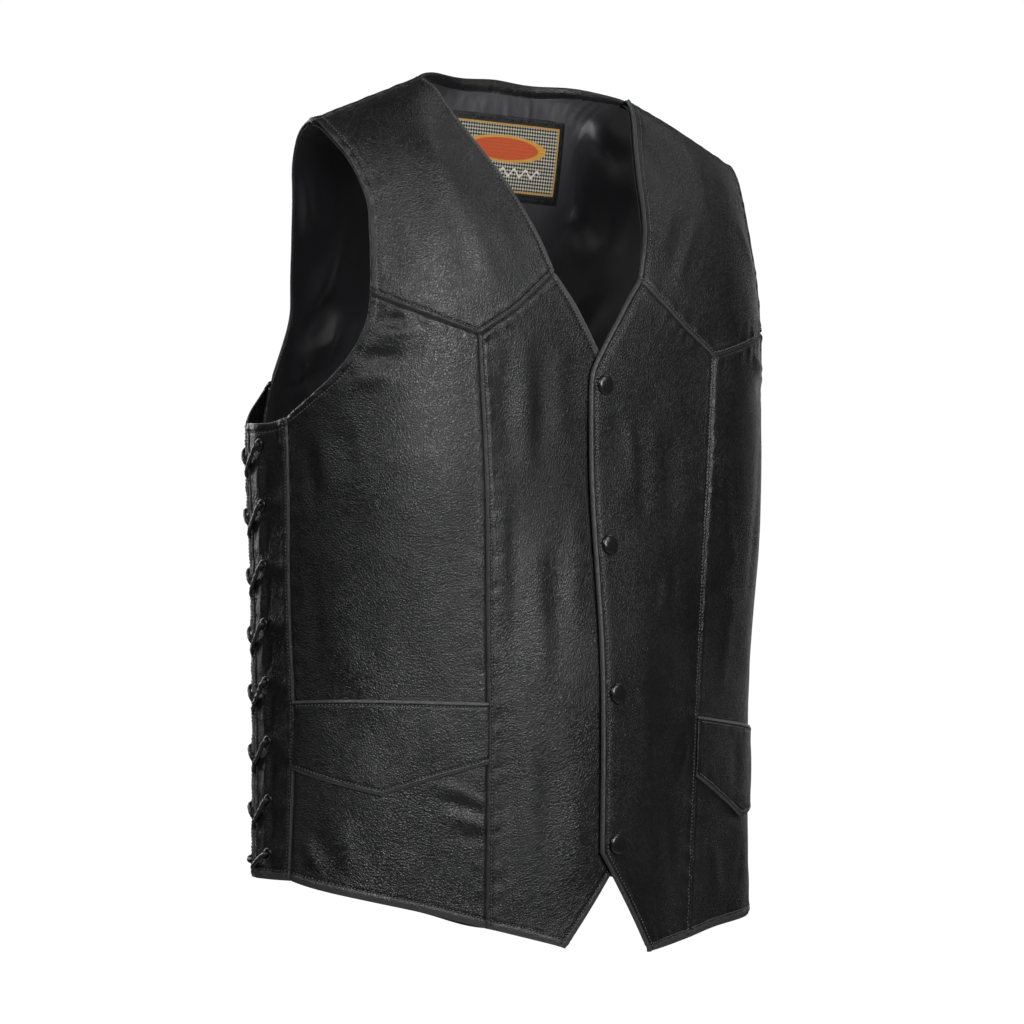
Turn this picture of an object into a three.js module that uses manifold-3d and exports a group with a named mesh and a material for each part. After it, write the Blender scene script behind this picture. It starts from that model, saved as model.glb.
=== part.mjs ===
// Leather vest in its worn form: snap front, laced sides, satin lining.
// Millimetres, +Z up. The front faces -Y and the wearer's right side is -X.
// The origin lies midway between the shoulder seams, where the wearer carries the vest.
import * as THREE from 'three';
import Module from 'manifold-3d';
import { mergeVertices } from 'three/addons/utils/BufferGeometryUtils.js';

const wasm = await Module();
wasm.setup();

// Driving dimensions: cloth walls and clearances
const leatherWall = 1.6;
const bandWall = 1.8;          // lace bands are doubled leather
const satinWall = 1.0;
const frontLiningDrop = 1.8;   // the front lining hangs this far off the leather
const pocketWall = 1.4;
const pocketStand = 0.5;       // the pocket band's back face over the side panel
const seamGap = 0.3;
const overlapLift = 3.4;       // the left front lies this far over the right one
const overlapTurn = 0.036;     // how far each front runs past the centre line, in quarter turns

// Driving dimensions: fastenings
const snapRadius = 7.5;
const snapHeight = 2.7;
const snapTurn = 0.006;
const snapLevels = [-48.5, -165, -273, -381.5];
const eyeletLevels = [-96.7, -140.5, -184, -226, -268, -311, -353, -391.5];
const eyeletRows = { flange: 4.7, barrel: 2.6, bore: 2.1, hole: 3.05, faces: 8 };
const laceRadius = 1.5;
const laceSides = 6;
const halfLaceGap = 3;         // from the middle of the side opening to each lace band
const eyeletAcross = { front: 24, back: 14 };   // from the middle of the side opening to each row of eyelets

// Driving dimensions: the woven label under the back neck
const labelRows = {
  centre: 10.5, halfWidth: 58, top: 1.5, height: 60, backing: 1.0, weave: 0.6, border: 4, columns: 7, rows: 6,
};
const labelSeat = 1.0;         // clearance that lets the label lie over the lining's creases

// Body form: rings from the hem up, sizes at each height
const formRows = [
  { height: -620, halfWidth: 222, front: 78.5, back: 65, middle: 23.5, backMiddle: 23.5, keel: 38.6, backPower: 2.85 },
  { height: -420, halfWidth: 214, front: 99, back: 74, middle: 27.5, backMiddle: 27.5, keel: 23.8, backPower: 2.9 },
  { height: -250, halfWidth: 213.5, front: 110, back: 82, middle: 19.5, backMiddle: 19.5, keel: -7.9, backPower: 3.5 },
  { height: -158, halfWidth: 213.5, front: 110, back: 70, middle: 19.5, backMiddle: 19.5, keel: -7.9, backPower: 2.8 },
  { height: -110, halfWidth: 213.5, front: 110, back: 45, middle: 19.5, backMiddle: 22, keel: -7.9, backPower: 4.6 },
  { height: -60, halfWidth: 213.5, front: 110, back: 21, middle: 19.5, backMiddle: 25, keel: -7.9, backPower: 7 },
  { height: 0, halfWidth: 213.5, front: 110, back: 11, middle: 19.5, backMiddle: 25, keel: -7.9, backPower: 8 },
  { height: 60, halfWidth: 213.5, front: 110, back: 5, middle: 19.5, backMiddle: 25, keel: -7.9, backPower: 8 },
];
const chestHeight = -158;
const frontPower = 2.85;
const closingPower = 1.665;
const crown = 215;             // cloth length from the chest ring to the shoulder ridge
const keelWidth = 175;
const neckHeight = 17.4;
const neckHalfWidth = 100;
const shoulderSlope = 0.388;
const neckRise = 0.6;
const shoulderRoll = 45;
const quarter = Math.PI / 2;

// Cut lines of the half pattern: quarter turns from centre front, and cloth level above the chest ring
const necklineRows = [
  { turn: 0.290, level: 215 }, { turn: 0.261, level: 160 }, { turn: 0.234, level: 129 }, { turn: 0.201, level: 98 },
  { turn: 0.165, level: 62 }, { turn: 0.118, level: 25 },
];
const frontEdgeRows = [
  { turn: 0.118, level: 25 }, { turn: 0.055, level: 4 }, { turn: 0.010, level: -17 }, { turn: -0.029, level: -39 },
  { turn: -0.035, level: -51 }, { turn: -overlapTurn, level: -80 },
];
const frontHemRows = [{ turn: -overlapTurn, level: -388 }, { turn: 0.110, level: -457 }];
const yokeRows = [{ turn: 0.118, level: 25 }, { turn: 0.333, level: -20 }, { turn: 0.610, level: 6 }];
const panelSeamRows = [
  { turn: 0.333, level: -20 }, { turn: 0.312, level: -139 }, { turn: 0.296, level: -281 }, { turn: 0.276, level: -444 },
];
const frontArmholeRows = [
  { turn: 0.708, level: 215 }, { turn: 0.672, level: 167 }, { turn: 0.625, level: 131 }, { turn: 0.591, level: 83 },
  { turn: 0.597, level: 54 }, { turn: 0.610, level: 6 },
];
const underarmRows = [
  { turn: 0.610, level: 6 }, { turn: 0.618, level: -10 }, { turn: 0.643, level: -25.5 }, { turn: 0.693, level: -41.7 },
  { turn: 0.764, level: -55.5 }, { turn: 0.862, level: -67.3 }, { turn: 0.985, level: -79 },
];
const sideSeamRows = [
  { turn: 0.985, level: -79 }, { turn: 0.938, level: -182 }, { turn: 0.873, level: -284 }, { turn: 0.862, level: -332 },
  { turn: 0.862, level: -411 },
];
const sideHemRows = [{ turn: 0.276, level: -444 }, { turn: 0.425, level: -432 }, { turn: 0.862, level: -411 }];
const laceGapRows = [
  { turn: 1.334, level: -80 }, { turn: 1.296, level: -188 }, { turn: 1.259, level: -268 }, { turn: 1.234, level: -352 },
  { turn: 1.232, level: -406 },
];
const backSeamRows = [
  { turn: 1.492, level: -45 }, { turn: 1.462, level: -188 }, { turn: 1.420, level: -284 }, { turn: 1.392, level: -352 },
  { turn: 1.386, level: -406 },
];
const backArmholeRows = [
  { turn: 1.465, level: 215 }, { turn: 1.490, level: 181 }, { turn: 1.510, level: 155 }, { turn: 1.525, level: 126 },
  { turn: 1.540, level: 80 }, { turn: 1.543, level: 40 }, { turn: 1.520, level: -5 }, { turn: 1.492, level: -45 },
];
const backNeckRows = [
  { turn: 2.0, level: 152 }, { turn: 1.911, level: 162 }, { turn: 1.854, level: 171.5 }, { turn: 1.772, level: 192 },
  { turn: 1.740, level: 204 }, { turn: 1.721, level: 215 },
];
const shoulderRows = [{ turn: 0.290, level: 215 }, { turn: 0.708, level: 215 }];
const backShoulderRows = [{ turn: 1.721, level: 215 }, { turn: 1.465, level: 215 }];
const pocketRows = { top: -283.5, inner: -327, tip: -351.5, tipTurn: 0.517, outer: -332 };

// A smooth value between the rows of the form
function formAt(height, column) {
  const last = formRows.length - 1;
  const z = THREE.MathUtils.clamp(height, formRows[0].height - 20, formRows[last].height);
  let row = 0;
  while (row < last - 1 && z >= formRows[row + 1].height) row += 1;
  const rise = (k) => (formRows[k + 1][column] - formRows[k][column]) / (formRows[k + 1].height - formRows[k].height);
  const slope = (k) => {
    if (k === 0) return rise(0);
    if (k === last) return 0;
    const below = rise(k - 1);
    const above = rise(k);
    return below * above <= 0 ? 0 : (2 * below * above) / (below + above);
  };
  const span = formRows[row + 1].height - formRows[row].height;
  const s = (z - formRows[row].height) / span;
  const blend = s * s * (3 - 2 * s);
  return formRows[row][column] * (1 - blend) + formRows[row + 1][column] * blend
    + span * (slope(row) * s * (1 - s) ** 2 - slope(row + 1) * s * s * (1 - s));
}

function roundness(sine, cosine, power) {
  return (sine ** power + Math.abs(cosine) ** power) ** (-1 / power);
}

function shoulderHeight(x) {
  return neckHeight - shoulderSlope * Math.max(x - neckHalfWidth, 0);
}

// The front half of the body form
function frontForm(turn, level) {
  const low = chestHeight + Math.min(level, 0);
  const sine = Math.sin(turn * quarter);
  const cosine = Math.cos(turn * quarter);
  const r = roundness(sine, cosine, frontPower);
  const x = formAt(low, 'halfWidth') * r * sine;
  const climb = THREE.MathUtils.clamp(level / crown, 0, 1) * quarter;
  const closing = roundness(Math.sin(climb), Math.cos(climb), closingPower);
  const up = closing * Math.sin(climb);
  const depth = closing * Math.cos(climb);
  const keel = THREE.MathUtils.clamp(1 - (x / keelWidth) ** 2, 0, 1) ** 2;
  const hollow = 0.33 * THREE.MathUtils.smoothstep(level, 40, 170) * (1 - THREE.MathUtils.smoothstep(x, 88, 135));
  const reach = (formAt(low, 'front') + formAt(low, 'keel') * keel) * r * cosine;
  const y = formAt(low, 'middle') * (1 - up * up) - reach * depth * (1 - hollow);
  return [x, y, low + (shoulderHeight(x) - chestHeight) * up];
}

// The back half of the body form: the power of its rings follows their height
function backForm(turn, level) {
  const low = chestHeight + Math.min(level, 0);
  const sine = Math.sin(turn * quarter);
  const cosine = Math.abs(Math.cos(turn * quarter));
  let x = 0;
  let z = low;
  let r = 1;
  let depth = 1;
  for (let pass = 0; pass < 7; pass += 1) {
    if (level > 0) {
      const flank = shoulderHeight(x) + neckRise * Math.max(neckHalfWidth - x, 0) - shoulderRoll - chestHeight;
      const length = Math.min(level / crown, 1) * (flank + shoulderRoll * quarter);
      const bend = THREE.MathUtils.clamp((length - flank) / shoulderRoll, 0, quarter);
      z = length < flank ? chestHeight + length : chestHeight + flank + shoulderRoll * Math.sin(bend);
      depth = Math.cos(bend);
    }
    r = roundness(sine, cosine, formAt(z, 'backPower'));
    x = formAt(z, 'halfWidth') * r * sine;
  }
  return [x, (formAt(z, 'backMiddle') + formAt(z, 'back') * r * cosine) * depth, z];
}

// A point of the body form; the wearer's right side has negative turns
function formPoint(turn, level) {
  const size = Math.abs(turn);
  const [x, y, z] = size <= 1 ? frontForm(size, level) : backForm(Math.min(size, 4 - size), level);
  const mirrored = size > 2 ? -1 : 1;
  return new THREE.Vector3(Math.sign(turn) * mirrored * x, y, z);
}

function formNormal(turn, level) {
  const step = 0.002;
  const rise = level > crown - 1 ? [level - 1, level] : [level - 0.5, level + 0.5];
  const along = formPoint(turn + step, level).sub(formPoint(turn - step, level));
  const up = formPoint(turn, rise[1]).sub(formPoint(turn, rise[0]));
  return along.cross(up).normalize();
}

// How far the left front stands over the right one, fading out away from the centre
function frontLift(turn, level) {
  const across = 1 - THREE.MathUtils.smoothstep(turn, 0.05, 0.3);
  return overlapLift * across * (1 - THREE.MathUtils.smoothstep(level, -10, 70));
}

// A point held off the form; side is -1 for the wearer's right and 1 for the left
function clothPoint(side, turn, level, out) {
  const lift = side > 0 ? frontLift(turn, level) : 0;
  const normal = formNormal(side * turn, level);
  return formPoint(side * turn, level).addScaledVector(normal, out + lift);
}

// A cut line sampled in equal steps; the rows are joined by a smooth curve, or straight lines
function cutLine(rows, steps, straight = false) {
  const points = rows.map((row) => new THREE.Vector3(row.turn * 100, row.level, 0));
  const curve = straight ? new THREE.CurvePath() : new THREE.CatmullRomCurve3(points, false, 'centripetal');
  if (straight) points.slice(1).forEach((point, k) => curve.add(new THREE.LineCurve3(points[k], point)));
  return Array.from({ length: steps + 1 }, (unused, k) => {
    const point = curve.getPoint(k / steps);
    return { turn: point.x / 100, level: point.y };
  });
}

// Straight lines between the rows, each cut into its own number of steps
function brokenLine(rows, counts) {
  return rows.slice(1).flatMap((row, k) => {
    const piece = cutLine([rows[k], row], counts[k], true);
    return k === 0 ? piece : piece.slice(1);
  });
}

function join(...lines) {
  return lines.flatMap((line, k) => (k === 0 ? line : line.slice(1)));
}

function turnAt(rows, level) {
  let k = 0;
  while (k < rows.length - 2 && level < rows[k + 1].level) k += 1;
  const s = (level - rows[k].level) / (rows[k + 1].level - rows[k].level);
  return rows[k].turn + s * (rows[k + 1].turn - rows[k].turn);
}

// Cloth millimetres in one quarter turn, at a place on the form
function girthPerTurn(turn, level) {
  return formPoint(turn + 0.01, level).distanceTo(formPoint(turn, level)) / 0.01;
}

// How far along a line each of its places lies, from 0 to 1
function shares(line) {
  const reach = 220;
  const steps = line.slice(1).map((place, k) => {
    return Math.hypot((place.turn - line[k].turn) * reach, place.level - line[k].level);
  });
  const total = steps.reduce((sum, step) => sum + step, 0);
  let sum = 0;
  return [0, ...steps.map((step) => { sum += step; return sum / total; })];
}

// Grid of pattern places between four cut lines; top and bottom run the same way, left and right run down
function patch(top, bottom, left, right) {
  const rows = left.length - 1;
  const columns = top.length - 1;
  const [across, alsoAcross, down, alsoDown] = [top, bottom, left, right].map(shares);
  const mix = (key, j, k) => {
    const u = (across[k] + alsoAcross[k]) / 2;
    const v = (down[j] + alsoDown[j]) / 2;
    const corners = (1 - u) * (1 - v) * top[0][key] + u * (1 - v) * top[columns][key]
      + (1 - u) * v * bottom[0][key] + u * v * bottom[columns][key];
    return (1 - v) * top[k][key] + v * bottom[k][key] + (1 - u) * left[j][key] + u * right[j][key] - corners;
  };
  return left.map((unused, j) => top.map((unusedToo, k) => ({ turn: mix('turn', j, k), level: mix('level', j, k) })));
}

// Moves the border points of a layer inwards, in millimetres of cloth, to leave room at its seams
function trimmed(layer, { top = 0, bottom = 0, left = 0, right = 0 }) {
  const copy = layer.map((row) => row.map((point) => point.clone()));
  const last = layer.length - 1;
  const end = layer[0].length - 1;
  const pull = (point, towards, distance) => point.lerp(towards, distance / point.distanceTo(towards));
  for (let k = 0; k <= end; k += 1) {
    if (top) pull(copy[0][k], layer[1][k], top);
    if (bottom) pull(copy[last][k], layer[last - 1][k], bottom);
  }
  for (let j = 0; j <= last; j += 1) {
    if (left) pull(copy[j][0], copy[j][1], left);
    if (right) pull(copy[j][end], copy[j][end - 1], right);
  }
  return copy;
}

function layerPoints(grid, side, out) {
  return grid.map((row) => row.map((place) => clothPoint(side, place.turn, place.level, out)));
}

function toGeometry(positions, indices) {
  const geometry = new THREE.BufferGeometry();
  geometry.setAttribute('position', new THREE.Float32BufferAttribute(positions, 3));
  geometry.setIndex(indices);
  return geometry;
}

// Turns all faces round if the closed mesh is inside out
function faceOutwards(positions, indices) {
  const corner = (k) => new THREE.Vector3().fromArray(positions, 3 * indices[k]);
  let volume = 0;
  for (let k = 0; k < indices.length; k += 3) volume += corner(k).dot(corner(k + 1).cross(corner(k + 2)));
  if (volume < 0) {
    for (let k = 0; k < indices.length; k += 3) [indices[k], indices[k + 1]] = [indices[k + 1], indices[k]];
  }
  return toGeometry(positions, indices);
}

// A closed wall between two layers of points with the same rows and columns
function wallBetween(outerLayer, innerLayer) {
  const rows = outerLayer.length;
  const columns = outerLayer[0].length;
  const faces = [...outerLayer, ...innerLayer].flatMap((row) => row.flatMap((point) => point.toArray()));
  const at = (j, k, layer) => layer * rows * columns + j * columns + k;
  const indices = [];
  for (let j = 0; j < rows - 1; j += 1) {
    for (let k = 0; k < columns - 1; k += 1) {
      const [a, b, c, d] = [at(j, k, 0), at(j, k + 1, 0), at(j + 1, k + 1, 0), at(j + 1, k, 0)];
      indices.push(a, b, c, a, c, d);
      const [e, f, g, h] = [a, b, c, d].map((index) => index + rows * columns);
      indices.push(e, g, f, e, h, g);
    }
  }
  const rim = [];
  for (let k = 0; k < columns - 1; k += 1) rim.push([0, k]);
  for (let j = 0; j < rows - 1; j += 1) rim.push([j, columns - 1]);
  for (let k = columns - 1; k > 0; k -= 1) rim.push([rows - 1, k]);
  for (let j = rows - 1; j > 0; j -= 1) rim.push([j, 0]);
  rim.forEach(([j, k], n) => {
    const [nextJ, nextK] = rim[(n + 1) % rim.length];
    const [a, b] = [at(j, k, 0), at(nextJ, nextK, 0)];
    const [c, d] = [at(j, k, 1), at(nextJ, nextK, 1)];
    indices.push(b, a, c, b, c, d);
  });
  return faceOutwards(faces, indices);
}

// A closed wall of cloth on a grid, between two distances from the form
function wall(grid, side, outer, inner, trims = {}) {
  const [outerLayer, innerLayer] = [outer, inner].map((out) => trimmed(layerPoints(grid, side, out), trims));
  return wallBetween(outerLayer, innerLayer);
}

// Booleans
function toManifold(geometry) {
  const bare = geometry.clone();
  bare.deleteAttribute('normal');
  bare.deleteAttribute('uv');
  const merged = mergeVertices(bare, 1e-4);
  return new wasm.Manifold(new wasm.Mesh({
    numProp: 3,
    vertProperties: new Float32Array(merged.attributes.position.array),
    triVerts: new Uint32Array(merged.index.array),
  }));
}

function fromManifold(solid) {
  const mesh = solid.getMesh();
  return toGeometry(Array.from(mesh.vertProperties), Array.from(mesh.triVerts));
}

// Materials
const material = (color, roughness, metalness = 0) => new THREE.MeshStandardMaterial({ color, roughness, metalness });
const leatherColor = 0x232325;
const satinColor = 0x151517;
const enamelColor = 0x1b1b1c;
const laceColor = 0x161617;
const weaveColor = 0x8f8a7c;
const finishes = {
  leather: () => material(leatherColor, 0.45),
  satin: () => material(satinColor, 0.35),
  enamel: () => material(enamelColor, 0.25, 0.4),
  lace: () => material(laceColor, 0.5),
  weave: () => material(weaveColor, 0.7),
};

const vest = new THREE.Group();

function addPiece(name, geometry, finish) {
  const mesh = new THREE.Mesh(geometry, finishes[finish]());
  mesh.name = name;
  vest.add(mesh);
  return mesh;
}

const sideNames = new Map([[-1, 'right'], [1, 'left']]);
const seam = seamGap / 2;

// Seam lines that two panels share, sampled once
const lines = {
  neckline: cutLine(necklineRows, 8),
  shoulder: cutLine(shoulderRows, 7, true),
  frontArmhole: cutLine(frontArmholeRows, 8),
  yokeInner: cutLine(yokeRows.slice(0, 2), 4, true),
  yokeOuter: cutLine(yokeRows.slice(1), 5, true),
  panelSeamTop: cutLine([panelSeamRows[0], { turn: 0.3185, level: -102 }], 7, true),
  panelSeamLow: cutLine([{ turn: 0.3185, level: -102 }, ...panelSeamRows.slice(1)], 11),
  frontEdgeTop: cutLine(frontEdgeRows, 7),
  frontEdge: brokenLine([frontEdgeRows.at(-1), ...frontHemRows], [8, 3]),
  hemInner: cutLine([frontHemRows[1], panelSeamRows.at(-1)], 4, true),
  underarm: cutLine(underarmRows, 7),
  sideSeam: cutLine(sideSeamRows, 11),
  hemOuter: cutLine(sideHemRows, 5),
};

function frontYoke(side) {
  const yokeLine = join(lines.yokeInner, lines.yokeOuter);
  const shoulder = cutLine(shoulderRows, yokeLine.length - 1, true);
  const grid = patch(shoulder, yokeLine, lines.neckline, lines.frontArmhole);
  return wall(grid, side, 0, -leatherWall, { top: seam, bottom: seam });
}

function frontCenter(side) {
  const edge = join(lines.frontEdgeTop, lines.frontEdge);
  const grid = patch(lines.yokeInner, lines.hemInner, edge, join(lines.panelSeamTop, lines.panelSeamLow));
  return wall(grid, side, 0, -leatherWall, { top: seam, right: seam });
}

function frontSide(side) {
  const inner = join(lines.panelSeamTop, lines.panelSeamLow);
  const grid = patch(lines.yokeOuter, lines.hemOuter, inner, join(lines.underarm, lines.sideSeam));
  return wall(grid, side, 0, -leatherWall, { top: seam, left: seam, right: seam });
}

// The pocket band lies on the side panel, straight above and pointed below
function pocketBand(side) {
  const { top, inner, tip, tipTurn, outer } = pocketRows;
  const corner = (rows, level) => ({ turn: turnAt(rows, level), level });
  const upper = cutLine([corner(panelSeamRows, top), corner(sideSeamRows, top)], 8, true);
  const pointed = [corner(panelSeamRows, inner), { turn: tipTurn, level: tip }, corner(sideSeamRows, outer)];
  const lower = brokenLine(pointed, [4, 4]);
  const grid = patch(upper, lower, cutLine([upper[0], lower[0]], 3, true), cutLine([upper[8], lower[8]], 3, true));
  return wall(grid, side, pocketStand + pocketWall, pocketStand, { left: seam, right: seam });
}

// A place beside the side opening: across is the cloth distance behind its middle line
function besideGap(across, level) {
  const middle = turnAt(laceGapRows, level);
  return { turn: middle + across / girthPerTurn(middle, level), level };
}

function withHoles(geometry, side, across) {
  let solid = toManifold(geometry);
  eyeletLevels.forEach((level) => {
    const { turn } = besideGap(across, level);
    const cutter = new THREE.CylinderGeometry(eyeletRows.hole, eyeletRows.hole, 12, eyeletRows.faces);
    cutter.applyMatrix4(standOn(side, turn, level, -bandWall / 2));
    solid = solid.subtract(toManifold(cutter));
  });
  return fromManifold(solid);
}

// Stands a shape whose axis is Y on the cloth, its axis along the cloth's normal
function standOn(side, turn, level, out) {
  const normal = formNormal(side * turn, level);
  const place = clothPoint(side, turn, level, out);
  const spin = new THREE.Quaternion().setFromUnitVectors(new THREE.Vector3(0, 1, 0), normal);
  return new THREE.Matrix4().compose(place, spin, new THREE.Vector3(1, 1, 1));
}

const bandSteps = 11;

// The edge of a lace band along the side opening, from the armhole down to the hem
function bandEdge(across, hemLevel) {
  const top = laceGapRows[0].level;
  const levels = Array.from({ length: bandSteps + 1 }, (unused, k) => top + (k / bandSteps) * (hemLevel - top));
  return levels.map((level) => besideGap(across, level));
}

function laceBandFront(side) {
  const edge = bandEdge(-halfLaceGap, -407);
  const inner = cutLine(sideSeamRows, bandSteps);
  const top = cutLine([inner[0], { turn: 1.12, level: -82 }, edge[0]], 3);
  const grid = patch(top, cutLine([inner.at(-1), edge.at(-1)], 3, true), inner, edge);
  return withHoles(wall(grid, side, 0, -bandWall, { left: seam }), side, -eyeletAcross.front);
}

function laceBandBack(side) {
  const edge = bandEdge(halfLaceGap, -404);
  const outer = cutLine(backSeamRows, bandSteps);
  const top = cutLine([edge[0], { turn: 1.437, level: -62 }, outer[0]], 3);
  const grid = patch(top, cutLine([edge.at(-1), outer.at(-1)], 3, true), edge, outer);
  return withHoles(wall(grid, side, 0, -bandWall, { right: seam }), side, eyeletAcross.back);
}

// The back is one piece: its grid runs from the left side seam round to the right one
const mirrorPlace = (place) => ({ turn: 4 - place.turn, level: place.level });

const shoulderSteps = 4;
const neckSteps = 5;
const neckBandWidth = 8;

// Its first row of cells, along the neck and shoulders, is as deep as the turned-in neck band
function backGrid() {
  const start = backArmholeRows[0];
  const first = { turn: turnAt(backArmholeRows, start.level - neckBandWidth), level: start.level - neckBandWidth };
  const armhole = cutLine([first, ...backArmholeRows.slice(1)], 8);
  const side = join([start, first], armhole, cutLine(backSeamRows, 8));
  const shoulder = cutLine([...backShoulderRows].reverse(), shoulderSteps, true);
  const topHalf = join(shoulder, cutLine([...backNeckRows].reverse(), neckSteps));
  const top = join(topHalf, [...topHalf].reverse().map(mirrorPlace));
  const hemRows = [backSeamRows.at(-1), { turn: 1.54, level: -391 }, { turn: 1.72, level: -388 }, { turn: 2, level: -388 }];
  const hemHalf = cutLine(hemRows, topHalf.length - 1);
  const bottom = join(hemHalf, [...hemHalf].reverse().map(mirrorPlace));
  return patch(top, bottom, side, side.map(mirrorPlace));
}

function backPanel() {
  return wall(backGrid(), 1, 0, -leatherWall, { top: seam, left: seam, right: seam });
}

function snapCap(level) {
  const profile = [[0, 0], [snapRadius, 0], [snapRadius, 0.7], [6.9, 1.5], [4.8, 2.3], [0, snapHeight]];
  const geometry = new THREE.LatheGeometry(profile.map(([x, y]) => new THREE.Vector2(x, y)), 18);
  return geometry.applyMatrix4(standOn(1, snapTurn, level, seamGap + 0.1));
}

function eyelet(side, across, level) {
  const { flange, barrel, bore, faces } = eyeletRows;
  const under = -bandWall - seamGap;
  const top = seamGap + 0.5;
  const profile = [[bore, under], [barrel, under], [barrel, seamGap], [flange, seamGap], [bore, top], [bore, under]];
  const geometry = new THREE.LatheGeometry(profile.map(([x, y]) => new THREE.Vector2(x, y)), faces);
  return geometry.applyMatrix4(standOn(side, besideGap(across, level).turn, level, 0));
}

// Lace stations from an eyelet over its own band, through the gap and under the other band to the next eyelet:
// rise is measured from the eyelet it leaves, gap from the middle of the opening, and fall from the eyelet it reaches
const laceOver = [
  { rise: 0, out: 0.9 }, { rise: 0.7, out: 2.4 }, { rise: 2.6, out: 3.0 }, { rise: 5.6, out: 2.7 },
];
const laceGap = [
  { gap: 4.2, out: 2.3 }, { gap: 1.7, out: 1.1 }, { gap: 0, out: -0.9 }, { gap: -1.7, out: -2.9 },
  { gap: -4.2, out: -4.1 },
];
const laceUnder = [{ fall: 2.4, out: -5.7 }, { fall: 0, out: -4.3 }, { fall: 0, out: -2.6 }];

// One strand from eyelet to eyelet down the side, changing bands at each step
function laceStrand(side, startSign) {
  const span = eyeletAcross.front + eyeletAcross.back;
  const reach = (sign) => (sign < 0 ? eyeletAcross.front : eyeletAcross.back);
  const stations = [];
  const add = (across, level, out) => {
    const place = besideGap(across, level);
    stations.push(clothPoint(side, place.turn, place.level, out));
  };
  for (let k = 0; k < eyeletLevels.length - 1; k += 1) {
    const sign = k % 2 === 0 ? startSign : -startSign;
    const from = eyeletLevels[k];
    const drop = (run) => from + (run / span) * (eyeletLevels[k + 1] - from);
    if (k === 0) add(sign * reach(sign), from, -2.6);
    laceOver.forEach(({ rise, out }) => add(sign * (reach(sign) - rise), drop(rise), out));
    laceGap.forEach(({ gap, out }) => add(sign * gap, drop(reach(sign) - gap), out));
    laceUnder.forEach(({ fall, out }) => add(-sign * (reach(-sign) - fall), drop(span - fall), out));
  }
  return stations;
}

// The ends of both strands go from the last eyelets through the gap and stop inside, the front one lower
function laceEnd(side, sign, level) {
  const reach = sign < 0 ? eyeletAcross.front : eyeletAcross.back;
  const lower = sign < 0 ? 5 : 0;
  const steps = [
    { across: reach, drop: 0, out: 0.9 }, { across: reach - 0.8, drop: 0.5, out: 2.3 },
    { across: reach - 2.8, drop: 1.2, out: 3.0 }, { across: 4.4, drop: 3 + lower, out: 2.4 },
    { across: 1.6, drop: 3.5 + lower, out: 1.0 }, { across: 1.2, drop: 3.8 + lower, out: -3 },
    { across: 1.2, drop: 4 + lower, out: -5.5 },
  ];
  return steps.map(({ across, drop, out }) => {
    const place = besideGap(sign * across, level - drop);
    return clothPoint(side, place.turn, place.level, out);
  });
}

// The bar between the two top eyelets, inside
function laceBar(side) {
  const { front, back } = eyeletAcross;
  const steps = [
    { across: back - 0.2, out: -4.1 }, { across: back - 2.2, out: -5.3 }, { across: back - 7, out: -4.9 },
    { across: -5, out: -4.6 }, { across: 7 - front, out: -4.9 }, { across: 2.2 - front, out: -5.3 },
    { across: 0.2 - front, out: -4.1 },
  ];
  return steps.map((step) => {
    const place = besideGap(step.across, eyeletLevels[0]);
    return clothPoint(side, place.turn, place.level, step.out);
  });
}

// A round cord through its stations, closed at both ends
function cord(points, radius, sides) {
  const tangent = (k) => points[Math.min(k + 1, points.length - 1)].clone().sub(points[Math.max(k - 1, 0)]).normalize();
  let across = new THREE.Vector3(0, 0, 1).cross(tangent(0)).normalize();
  const positions = [];
  points.forEach((point, k) => {
    const along = tangent(k);
    across = across.clone().addScaledVector(along, -across.dot(along)).normalize();
    const other = along.clone().cross(across);
    for (let n = 0; n < sides; n += 1) {
      const angle = (n / sides) * 4 * quarter;
      const corner = point.clone().addScaledVector(across, radius * Math.cos(angle));
      positions.push(...corner.addScaledVector(other, radius * Math.sin(angle)).toArray());
    }
  });
  positions.push(...points[0].toArray(), ...points.at(-1).toArray());
  const indices = [];
  const last = points.length - 1;
  for (let k = 0; k < last; k += 1) {
    for (let n = 0; n < sides; n += 1) {
      const [a, b] = [k * sides + n, k * sides + ((n + 1) % sides)];
      indices.push(a, b, b + sides, a, b + sides, a + sides);
    }
  }
  for (let n = 0; n < sides; n += 1) {
    const next = (n + 1) % sides;
    indices.push(points.length * sides, next, n);
    indices.push(points.length * sides + 1, last * sides + n, last * sides + next);
  }
  return faceOutwards(positions, indices);
}

function sideLace(side) {
  const last = eyeletLevels.at(-1);
  const frontFirst = join(laceStrand(side, -1), [null, ...laceEnd(side, 1, last)]);
  const backFirst = join(laceStrand(side, 1), [null, ...laceEnd(side, -1, last)]);
  const stations = [...frontFirst.reverse(), ...laceBar(side).reverse(), ...backFirst];
  return cord(stations, laceRadius, laceSides);
}

// Linings follow the leather inside, trimmed back from its edges
const liningOuter = -(leatherWall + seamGap);
const liningTrim = 6;

function liningFront(side) {
  const clear = 0.085;         // the facing behind the front edge stays bare leather
  const top = cutLine(shoulderRows, 7, true);
  const edge = cutLine([...necklineRows.slice(0, 5), { turn: 0.125, level: 22 }, { turn: clear, level: -20 },
    { turn: clear, level: -120 }, { turn: clear, level: -300 }, { turn: 0.115, level: -440 }], 14);
  const outer = join(cutLine(frontArmholeRows, 5), cutLine(underarmRows, 4), cutLine(sideSeamRows, 5));
  const hem = cutLine([edge[14], { turn: 0.276, level: -444 }, { turn: 0.425, level: -432 }, sideSeamRows.at(-1)], 7);
  const depth = liningOuter - frontLiningDrop;
  const trims = { top: 1, bottom: liningTrim, left: liningTrim, right: liningTrim };
  return wall(patch(top, hem, edge, outer), side, depth, depth - satinWall, trims);
}

function liningBack() {
  return wall(backGrid().slice(1), 1, liningOuter, liningOuter - satinWall, { top: seamGap, left: seam, right: seam });
}

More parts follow.
